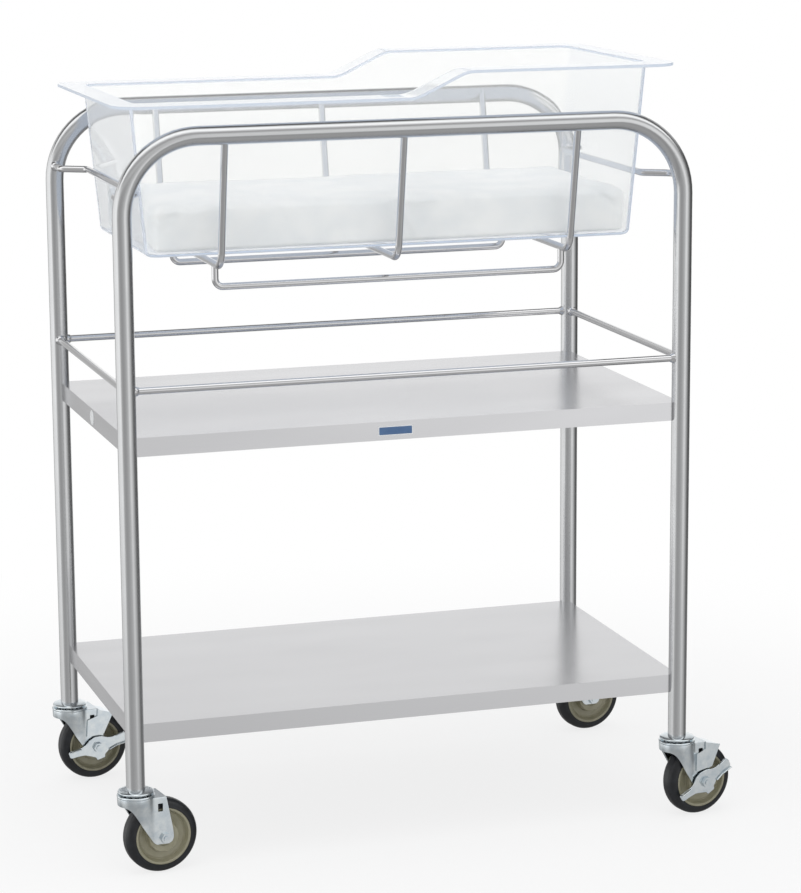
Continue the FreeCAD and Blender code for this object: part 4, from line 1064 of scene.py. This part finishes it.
@dataclass
class Mattress(SubAssembly):
    """The foam pad in its sheet: swollen by a cloth simulation, then creased where the sheet is tucked.

    The pad's own sizes are in metres. What the sheet adds is in millimetres from the mattress' middle. A wave
    is a share, a length, a width and a layer of noise. A dent is a height, a place along the front and a
    width.
    """

    half: tuple[float, float] = (334.0 * MM, 141.5 * MM)
    shift: float = 3.5 * MM
    bottom: float = 820.8 * MM
    top: float = 880.0 * MM
    corner: float = 9.0 * MM
    edge: float = 8.0 * MM
    wall: tuple[float, float] = (335.6 * MM, 148.6 * MM)
    lean: tuple[float, float] = (0.089, 0.03)
    voxel: float = 5.0 * MM
    pressure: float = 4.0
    frames: int = 20
    swell_cap: float = 3.5 * MM
    fill: float = 0.6
    top_band: tuple[float, float] = (8.0, 27.0)
    front_band: tuple[float, float] = (100.0, 138.0)
    end_zone: float = 318.0
    wave_height: float = 1.8
    waves: tuple[tuple[float, float, float, float], ...] = ((1.0, 150.0, 110.0, 3.1), (0.5, 52.0, 46.0, 9.4))
    dents: tuple[tuple[float, float, float], ...] = ((1.5, -237.0, 22.0), (-2.2, -277.0, 13.0),
                                                     (-1.8, 34.0, 9.0), (1.0, 10.0, 14.0))
    folds: tuple[Fold, ...] = (
        Fold((2.0, 31.0), (38.0, -26.0), 5.0, 2.6), Fold((3.0, 31.0), (24.0, 21.5), 4.0, 2.8),
        Fold((22.0, 22.0), (62.0, 23.0), 3.5, 2.2), Fold((-338.0, 12.0), (-296.0, 26.0), 4.0, 2.2),
        Fold((-338.0, -4.0), (-304.0, 14.0), 3.5, 1.8), Fold((300.0, 28.0), (338.0, 4.0), 4.5, 2.2))
    pucker_ends: tuple[float, float] = (292.0, 322.0)
    pucker_rise: tuple[float, float] = (-24.0, 0.0)
    pucker_slant: tuple[float, float, float] = (0.5, 0.35, 0.7)
    pucker_spacing: float = 9.0
    pucker_height: float = 0.6

    def build(self) -> None:
        """Make the mattress."""
        low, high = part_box("mattress")
        middle = (low + high) / 2
        bm = bmesh.new()
        bmesh.ops.create_cube(bm, size=2.0)
        height = (self.top - self.bottom) / 2
        bmesh.ops.scale(bm, verts=bm.verts, vec=(*self.half, height))
        bevel(bm, edges_along(bm, 2, height), self.corner, 6)
        level = [edge for edge in bm.edges if abs(edge.verts[0].co.z - edge.verts[1].co.z) < TOUCH
                 and edge.calc_face_angle(0.0) > 1.0]
        bevel(bm, level, self.edge, 5)
        bmesh.ops.translate(bm, verts=bm.verts, vec=(middle.x + self.shift, middle.y, self.bottom + height))
        piece = new_object("mattress_pad", bm)
        remesh = add_modifier(piece, "REMESH", mode="VOXEL", voxel_size=self.voxel, use_smooth_shade=True)
        piece.data = evaluated_mesh(piece)
        piece.modifiers.remove(remesh)
        self.swell(piece)
        self.crease(piece, middle)
        add_modifier(piece, "SUBSURF", levels=1, render_levels=1)
        self.wardrobe.dress(piece, Look.COVER)
        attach(piece, "mattress")
        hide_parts("mattress")
        log.info("mattress is made")

    def swell(self, piece: Object) -> None:
        """Blow the cover up a little as cloth, and keep the result.

        Args:
            piece: The mattress.
        """
        cloth = add_modifier(piece, "CLOTH")
        cloth.settings.use_pressure = True
        cloth.settings.uniform_pressure_force = self.pressure
        cloth.settings.effector_weights.gravity = 0.0
        cloth.point_cache.frame_start, cloth.point_cache.frame_end = 1, self.frames
        for number in range(1, self.frames + 1):
            bpy.context.scene.frame_set(number)
        swollen = evaluated_mesh(piece)
        piece.modifiers.remove(cloth)
        bpy.context.scene.frame_set(1)
        for vert, moved in zip(piece.data.vertices, swollen.vertices):
            step = moved.co - vert.co
            vert.co += step * min(1.0, self.swell_cap / max(step.length, TOUCH))

    def crease(self, piece: Object, middle: Vector) -> None:
        """Add the sheet's waves and folds, and keep the pad inside the basin's walls and on its floor.

        Args:
            piece: The mattress.
            middle: The middle of its packed box.
        """
        for vert in piece.data.vertices:
            place = (vert.co - middle) / MM
            topness, front = smoothstep(place.z, *self.top_band), smoothstep(-place.y, *self.front_band)
            wave = sum(share * noise.noise(Vector((place.x / long, place.y / wide, layer)))
                       for share, long, wide, layer in self.waves)
            dent = sum(height * bump_at(place.x, x, width) for height, x, width in self.dents)
            lift = self.wave_height * wave * topness + front * topness * dent
            out = front * sum(fold.rise(place.x, place.z) for fold in self.folds) + self.pucker(place)
            side = Vector((place.x * (abs(place.x) > self.end_zone), place.y, 0.0))
            vert.co += MM * out * side.normalized()
            vert.co.z = max(vert.co.z + MM * lift, self.bottom)
            for axis in (0, 1):
                reach = self.wall[axis] + self.lean[axis] * (vert.co.z - self.bottom)
                vert.co[axis] = min(max(vert.co[axis], middle[axis] - reach), middle[axis] + reach)

    def pucker(self, place: Vector) -> float:
        """Give how far the tucked sheet's fine puckers stand out at the mattress' ends.

        Args:
            place: The place from the mattress' middle, in millimetres.

        Returns:
            The rise in millimetres.
        """
        share = smoothstep(abs(place.x), *self.pucker_ends) * smoothstep(place.z, *self.pucker_rise)
        along, across, up = self.pucker_slant
        run = along * abs(place.x) + up * place.z + across * place.y
        return self.pucker_height * share * math.sin(run * math.tau / self.pucker_spacing)


# ---------------------------------------------------------------- casters


class Brake(Enum):
    """How a caster's foot brake stands, as its toe's angle over the floor in degrees."""

    LOCKED = 14.9
    RELEASED = 31.4


@dataclass
class CasterPart(SubAssembly):
    """A part of one caster, with its corner of the stand and where its own frame goes."""

    corner: str
    place: Matrix

    def finish(self, piece: Object, look: Look) -> None:
        """Even out a piece's shading and dress it.

        Args:
            piece: The object.
            look: The finish.
        """
        add_modifier(piece, "WEIGHTED_NORMAL", weight=60)
        self.wardrobe.dress(piece, look)


@dataclass
class Wheel(CasterPart):
    """A rubber-tyred wheel: a rounded tread on a dished core with a raised lip and hub.

    Its frame lies at the wheel's middle with its Z along the axle. The profiles are pairs of a radius and a
    place along the axle, in millimetres, and the core's is one half of it.
    """

    tread: tuple[tuple[float, float], ...] = (
        (39.15, -14.0), (43.8, -14.0), (50.8, -8.0), (50.8, 8.0), (43.8, 14.0), (39.15, 14.0))
    shoulder: float = 4.2
    shoulder_angle: float = 25.0
    shoulder_radius: float = 42.0
    step_length: float = 8.0
    core: tuple[tuple[float, float], ...] = (
        (39.1, 13.9), (37.2, 14.3), (35.6, 13.6), (34.4, 9.0), (32.6, 6.6), (30.6, 7.4), (22.6, 6.2),
        (21.2, 8.0), (20.5, 16.2), (19.4, 17.0), (12.2, 17.0), (11.4, 15.8), (6.45, 15.8))
    core_round: float = 0.5
    core_angle: float = 28.0
    steps: int = 96

    def build(self) -> None:
        """Make the tread and the core."""
        bm = bmesh.new()
        turn_profile(bm, self.tread, self.steps, self.place)
        rings = [edge for edge in sharp_edges(bm, self.shoulder_angle) if self.is_shoulder(edge)]
        bevel(bm, rings, self.shoulder * MM, 5)
        bmesh.ops.recalc_face_normals(bm, faces=bm.faces)
        tread = new_object("tread_" + self.corner, bm)
        self.finish(tread, Look.TREAD)
        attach(tread, "wheel_" + self.corner)
        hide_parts("wheel_tread_" + self.corner)
        mirrored = [(radius, -along) for radius, along in reversed(self.core)]
        bm = bmesh.new()
        turn_profile(bm, [*self.core, *mirrored], self.steps, self.place)
        core = new_object("core_" + self.corner, bm)
        add_modifier(core, "BEVEL", width=self.core_round * MM, segments=2, limit_method="ANGLE",
                     angle_limit=math.radians(self.core_angle))
        self.finish(core, Look.CORE)
        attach(core, "wheel_" + self.corner)
        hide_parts("wheel_core_" + self.corner)

    def is_shoulder(self, edge: BMEdge) -> bool:
        """Tell whether an edge runs round the tread's shoulder.

        Args:
            edge: The edge.

        Returns:
            Whether it is one short step of a circle outside the core.
        """
        radii = [(self.place.inverted() @ vert.co).xy.length / MM for vert in edge.verts]
        return (min(radii) > self.shoulder_radius and abs(radii[0] - radii[1]) < 0.01
                and edge.calc_length() < self.step_length * MM)


@dataclass
class Fork(CasterPart):
    """The stamped fork: a round nose that swells out under a raceway, and two flat sides down to the axle.

    Its frame lies on the floor below the swivel axis, turned so that its X runs to the axle. Sizes are in
    millimetres. A blend says how far the shape is rounded where two of its stretches meet, and the grid is
    the number of faces round the fork and down it.
    """

    top: float = 108.0
    low: float = 42.8
    half: float = 20.3
    sheet: float = 3.0
    tail: float = 45.0
    back: float = 35.4
    back_blend: float = 2.0
    heel: float = 58.0
    heel_round: float = 8.0
    toe: float = 18.4
    toe_blend: float = 6.0
    nose_share: float = 0.44
    nose_foot: float = -17.0
    nose_bottom: float = 97.5
    nose_radius: float = 26.0
    nose_blend: float = 9.0
    ridge_blend: float = 0.3
    grid: tuple[int, int] = (92, 20)
    swell_band: tuple[float, float] = (70.0, 106.0)
    swell_inset: float = 0.8
    crown: float = 2.6
    edge_round: float = 0.6
    edge_angle: float = 50.0
    hole: tuple[float, float, float, float] = (23.3, 30.3, 88.3, 99.3)
    hole_corner: float = 0.8
    race: tuple[tuple[float, float], ...] = (
        (17.5, 107.9), (24.2, 107.4), (25.3, 108.2), (25.6, 109.6), (25.1, 110.9), (23.9, 111.5),
        (18.6, 111.5), (17.5, 110.6))
    race_steps: int = 72

    def build(self) -> None:
        """Make the fork and the raceway pressed into it."""
        bm = bmesh.new()
        bmesh.ops.create_grid(bm, x_segments=self.grid[0], y_segments=self.grid[1], size=1.0)
        rows = {vert: (1 - vert.co.y) / 2 for vert in bm.verts}
        brim = [edge for edge in bm.edges if all(rows[vert] < TOUCH for vert in edge.verts)]
        ends = sorted((vert for vert in bm.verts if rows[vert] < TOUCH), key=lambda vert: vert.co.x)
        for vert in bm.verts:
            vert.co = self.press(vert.co.x, rows[vert])
        closing = bm.edges.new((ends[0], ends[-1]))
        bmesh.ops.edgeloop_fill(bm, edges=brim + [closing])
        bmesh.ops.recalc_face_normals(bm, faces=bm.faces)
        face_up(bm, max(bm.faces, key=lambda face: face.calc_area()))
        bevel(bm, brim, self.crown * MM, 4)
        piece = new_object("fork_" + self.corner, bm)
        add_modifier(piece, "SOLIDIFY", thickness=self.sheet * MM, offset=-1.0, use_even_offset=True)
        cutter = self.hole_cutter()
        add_modifier(piece, "BOOLEAN", operation="DIFFERENCE", object=cutter, solver="EXACT")
        piece.data = evaluated_mesh(piece)
        piece.modifiers.clear()
        bpy.data.objects.remove(cutter)
        piece.data.transform(self.place)
        add_modifier(piece, "BEVEL", width=self.edge_round * MM, segments=2, limit_method="ANGLE",
                     angle_limit=math.radians(self.edge_angle))
        self.finish(piece, Look.ZINC)
        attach(piece, "swivel_" + self.corner)
        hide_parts("caster_fork_" + self.corner)
        bm = bmesh.new()
        turn_profile(bm, self.race, self.race_steps, self.place)
        ring = new_object("raceway_" + self.corner, bm)
        self.finish(ring, Look.ZINC)
        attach(ring, "swivel_" + self.corner)
        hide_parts("caster_fork_" + self.corner)

    def press(self, across: float, down: float) -> Vector:
        """Give where a point of the flat sheet goes in the pressed fork.

        Args:
            across: The place round the fork: 0 at the nose, 1 and -1 at the two tails.
            down: The place from the top, 0, to the lower edge, 1.

        Returns:
            The place in the fork's own frame, in metres.
        """
        share = abs(across)
        turn = min(share / self.nose_share, 1.0) * math.pi / 2
        run = max(share - self.nose_share, 0.0) / (1 - self.nose_share)
        guess = run * self.tail - self.nose_radius * math.cos(turn)
        z = self.top + (self.lower_edge(guess) - self.top) * down
        spread = self.nose_radius - self.half
        swell = spread * (0.5 + 0.5 * smoothstep(z, *self.swell_band)) - self.swell_inset
        if share <= self.nose_share:
            x, y = -(self.half + swell) * math.cos(turn), (self.half + swell) * math.sin(turn)
        else:
            rising = (z - self.heel) * (self.tail - self.back) / (self.top - self.heel)
            x = run * -soft_max(-self.tail, rising - self.tail, self.back_blend)
            ridge = (math.sqrt(max(self.nose_radius ** 2 - x * x, 0.0)) - self.half) / spread
            y = self.half + swell * soft_max(ridge, 0.0, self.ridge_blend)
        return Vector((x, math.copysign(y, across), z)) * MM

    def lower_edge(self, x: float) -> float:
        """Give the height of the fork's lower edge.

        Args:
            x: The place along the fork, in millimetres.

        Returns:
            The height over the floor, in millimetres.
        """
        drop = (self.low - self.nose_bottom) / (self.toe - self.nose_foot)
        slant = self.nose_bottom + drop * (x - self.nose_foot)
        edge = -soft_max(-self.nose_bottom, -soft_max(self.low, slant, self.toe_blend), self.nose_blend)
        over = max(x - self.tail + self.heel_round, 0.0)
        return edge + self.heel_round - math.sqrt(max(self.heel_round ** 2 - over ** 2, 0.0))

    def hole_cutter(self) -> Object:
        """Make the block that cuts the brake's two holes.

        Returns:
            The block, to be removed after use.
        """
        left, right, low, high = (size * MM for size in self.hole)
        length = 0.1
        bm = bmesh.new()
        bmesh.ops.create_cube(bm, size=1.0)
        bmesh.ops.scale(bm, vec=(right - left, length, high - low), verts=bm.verts)
        bevel(bm, edges_along(bm, 1, length / 2), self.hole_corner * MM, 2)
        bmesh.ops.translate(bm, verts=bm.verts, vec=((left + right) / 2, 0.0, (low + high) / 2))
        return new_object("hole_cutter", bm)


@dataclass
class BrakeLever(CasterPart):
    """The stamped foot lever: a hub on the axle, a toe arm and a heel arm with turned-out edges.

    Its frame lies at the axle, with its X, Y and Z as the fork has them. Sizes are in millimetres. The
    outline runs round the level lever from its toe. A flange is given by its two ends and its depth.
    """

    brake: Brake
    inner: float = 22.9
    sheet: float = 2.0
    corner_round: float = 1.8
    edge_round: float = 0.45
    outline: tuple[tuple[float, float], ...] = (
        (44.5, 6.2), (39.5, 8.0), (33.0, 7.4), (25.0, 6.6), (18.0, 8.8), (10.0, 13.8), (0.0, 16.2),
        (-9.0, 14.2), (-15.0, 10.2), (-22.0, 8.2), (-31.0, 8.4), (-42.0, 9.4), (-44.6, 7.0), (-44.4, 0.2),
        (-42.0, -1.6), (-32.0, -2.6), (-22.0, -4.6), (-14.0, -9.6), (-7.0, -14.4), (-6.4, -18.8),
        (6.4, -18.8), (7.4, -14.2), (13.0, -11.6), (16.5, -8.0), (24.0, -6.6), (35.0, -8.2), (42.5, -8.4),
        (45.2, -5.6), (46.0, 2.5))
    flanges: tuple[tuple[float, float, float, float, float], ...] = (
        (15.0, -9.4, 30.0, -7.0, 3.0), (27.5, -7.2, 44.0, -8.2, 3.6), (30.0, 6.4, 44.0, 6.9, 2.0),
        (-43.4, 8.2, -25.0, 7.0, 3.4))
    flange_sheet: float = 1.7
    flange_round: float = 0.75
    flange_root: float = 0.4
    washer: tuple[tuple[float, float], ...] = ((4.2, 20.7), (9.0, 20.7), (9.0, 23.1), (4.2, 23.1))
    washer_steps: int = 48

    def build(self) -> None:
        """Make the lever."""
        bm = bmesh.new()
        corners = [bm.verts.new((x * MM, -self.inner * MM, z * MM)) for x, z in self.outline]
        bm.faces.new(corners)
        bevel(bm, corners, self.corner_round * MM, 3, "VERTICES")
        raised = bmesh.ops.extrude_face_region(bm, geom=bm.faces[:])["geom"]
        bmesh.ops.translate(bm, vec=(0.0, -self.sheet * MM, 0.0), verts=only_verts(raised))
        bmesh.ops.recalc_face_normals(bm, faces=bm.faces)
        bevel(bm, sharp_edges(bm, 60), self.edge_round * MM, 2)
        for x0, z0, x1, z1, depth in self.flanges:
            self.add_flange(bm, Vector((x0, 0, z0)) * MM, Vector((x1, 0, z1)) * MM, depth * MM)
        turn_profile(bm, self.washer, self.washer_steps, Matrix.Rotation(math.pi / 2, 4, "X"))
        bmesh.ops.recalc_face_normals(bm, faces=bm.faces)
        turned = Matrix.Rotation(-math.radians(self.brake.value), 4, "Y")
        bmesh.ops.transform(bm, matrix=self.place @ turned, verts=bm.verts)
        piece = new_object("lever_" + self.corner, bm)
        self.finish(piece, Look.ZINC)
        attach(piece, "lever_" + self.corner)
        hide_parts("brake_lever_" + self.corner)

    def add_flange(self, bm: BMesh, start: Vector, end: Vector, depth: float) -> None:
        """Turn a stretch of an arm's edge outwards.

        Args:
            bm: The lever's mesh.
            start: One end of the stretch.
            end: Its other end.
            depth: How far it stands out past the lever's face.
        """
        block = bmesh.new()
        bmesh.ops.create_cube(block, size=1.0)
        run = end - start
        root = (self.inner + self.flange_root) * MM
        outer = (self.inner + self.sheet) * MM + depth
        bmesh.ops.scale(block, vec=(run.length, outer - root, self.flange_sheet * MM), verts=block.verts)
        bevel(block, block.edges[:], self.flange_round * MM, 3)
        turned = Matrix.Rotation(-math.atan2(run.z, run.x), 4, "Y")
        middle = (start + end) / 2 - Vector((0.0, (outer + root) / 2, 0.0))
        bmesh.ops.transform(block, matrix=Matrix.Translation(middle) @ turned, verts=block.verts)
        mesh = bpy.data.meshes.new("flange")
        block.to_mesh(mesh)
        block.free()
        bm.from_mesh(mesh)
        bpy.data.meshes.remove(mesh)


@dataclass
class Cap(CasterPart):
    """The pressed cap between the leg and the fork, in the fork's frame and in millimetres."""

    profile: tuple[tuple[float, float], ...] = (
        (5.65, 113.3), (22.8, 113.3), (24.0, 113.9), (24.3, 114.9), (23.8, 116.0), (21.6, 117.0),
        (17.6, 117.7), (13.2, 117.8), (5.65, 117.8))
    steps: int = 72

    def build(self) -> None:
        """Make the cap."""
        bm = bmesh.new()
        turn_profile(bm, self.profile, self.steps, self.place)
        piece = new_object("cap_" + self.corner, bm)
        self.finish(piece, Look.ZINC)
        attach(piece, "stand")
        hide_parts("caster_top_cap_" + self.corner)


@dataclass
class Caster(SubAssembly):
    """One swivel caster: stem, cap, fork, wheel, axle and, on two of them, a foot brake."""

    corner: str
    brake: Brake | None = None
    axle_height: float = 50.8 * MM

    def build(self) -> None:
        """Make and dress the caster."""
        end = "_" + self.corner
        stem, wheel = (sum(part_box(name + end), Vector()) / 2 for name in ("caster_stem", "wheel_tread"))
        run = wheel - stem
        turned = Matrix.Rotation(math.atan2(run.y, run.x), 4, "Z")
        swivel = Matrix.Translation((stem.x, stem.y, 0.0)) @ turned
        axle = Matrix.Translation((wheel.x, wheel.y, self.axle_height)) @ turned
        zinc = ["caster_stem", "axle_bolt", "axle_nut"]
        if self.brake:
            zinc.append("brake_shoe")
            BrakeLever(self.wardrobe, self.corner, axle, self.brake).build()
        self.wardrobe.dress_nodes([name + end for name in zinc], Look.ZINC)
        self.wardrobe.dress_nodes(["swivel_balls" + end, "wheel_bearing" + end], Look.BEARING)
        Wheel(self.wardrobe, self.corner, axle @ Matrix.Rotation(math.pi / 2, 4, "X")).build()
        Fork(self.wardrobe, self.corner, swivel).build()
        Cap(self.wardrobe, self.corner, swivel).build()
        log.info("caster %s is made", self.corner)


def main() -> None:
    """Build the studio and every sub-assembly, in order."""
    logging.basicConfig(level=logging.INFO, format="%(name)s: %(message)s")
    wardrobe = Wardrobe()
    Studio().build()
    Stand(wardrobe).build()
    Basin(wardrobe).build()
    Mattress(wardrobe).build()
    for corner, brake in (("fl", None), ("fr", Brake.RELEASED), ("bl", Brake.LOCKED), ("br", None)):
        Caster(wardrobe, corner, brake).build()


if __name__ == "__main__":
    main()
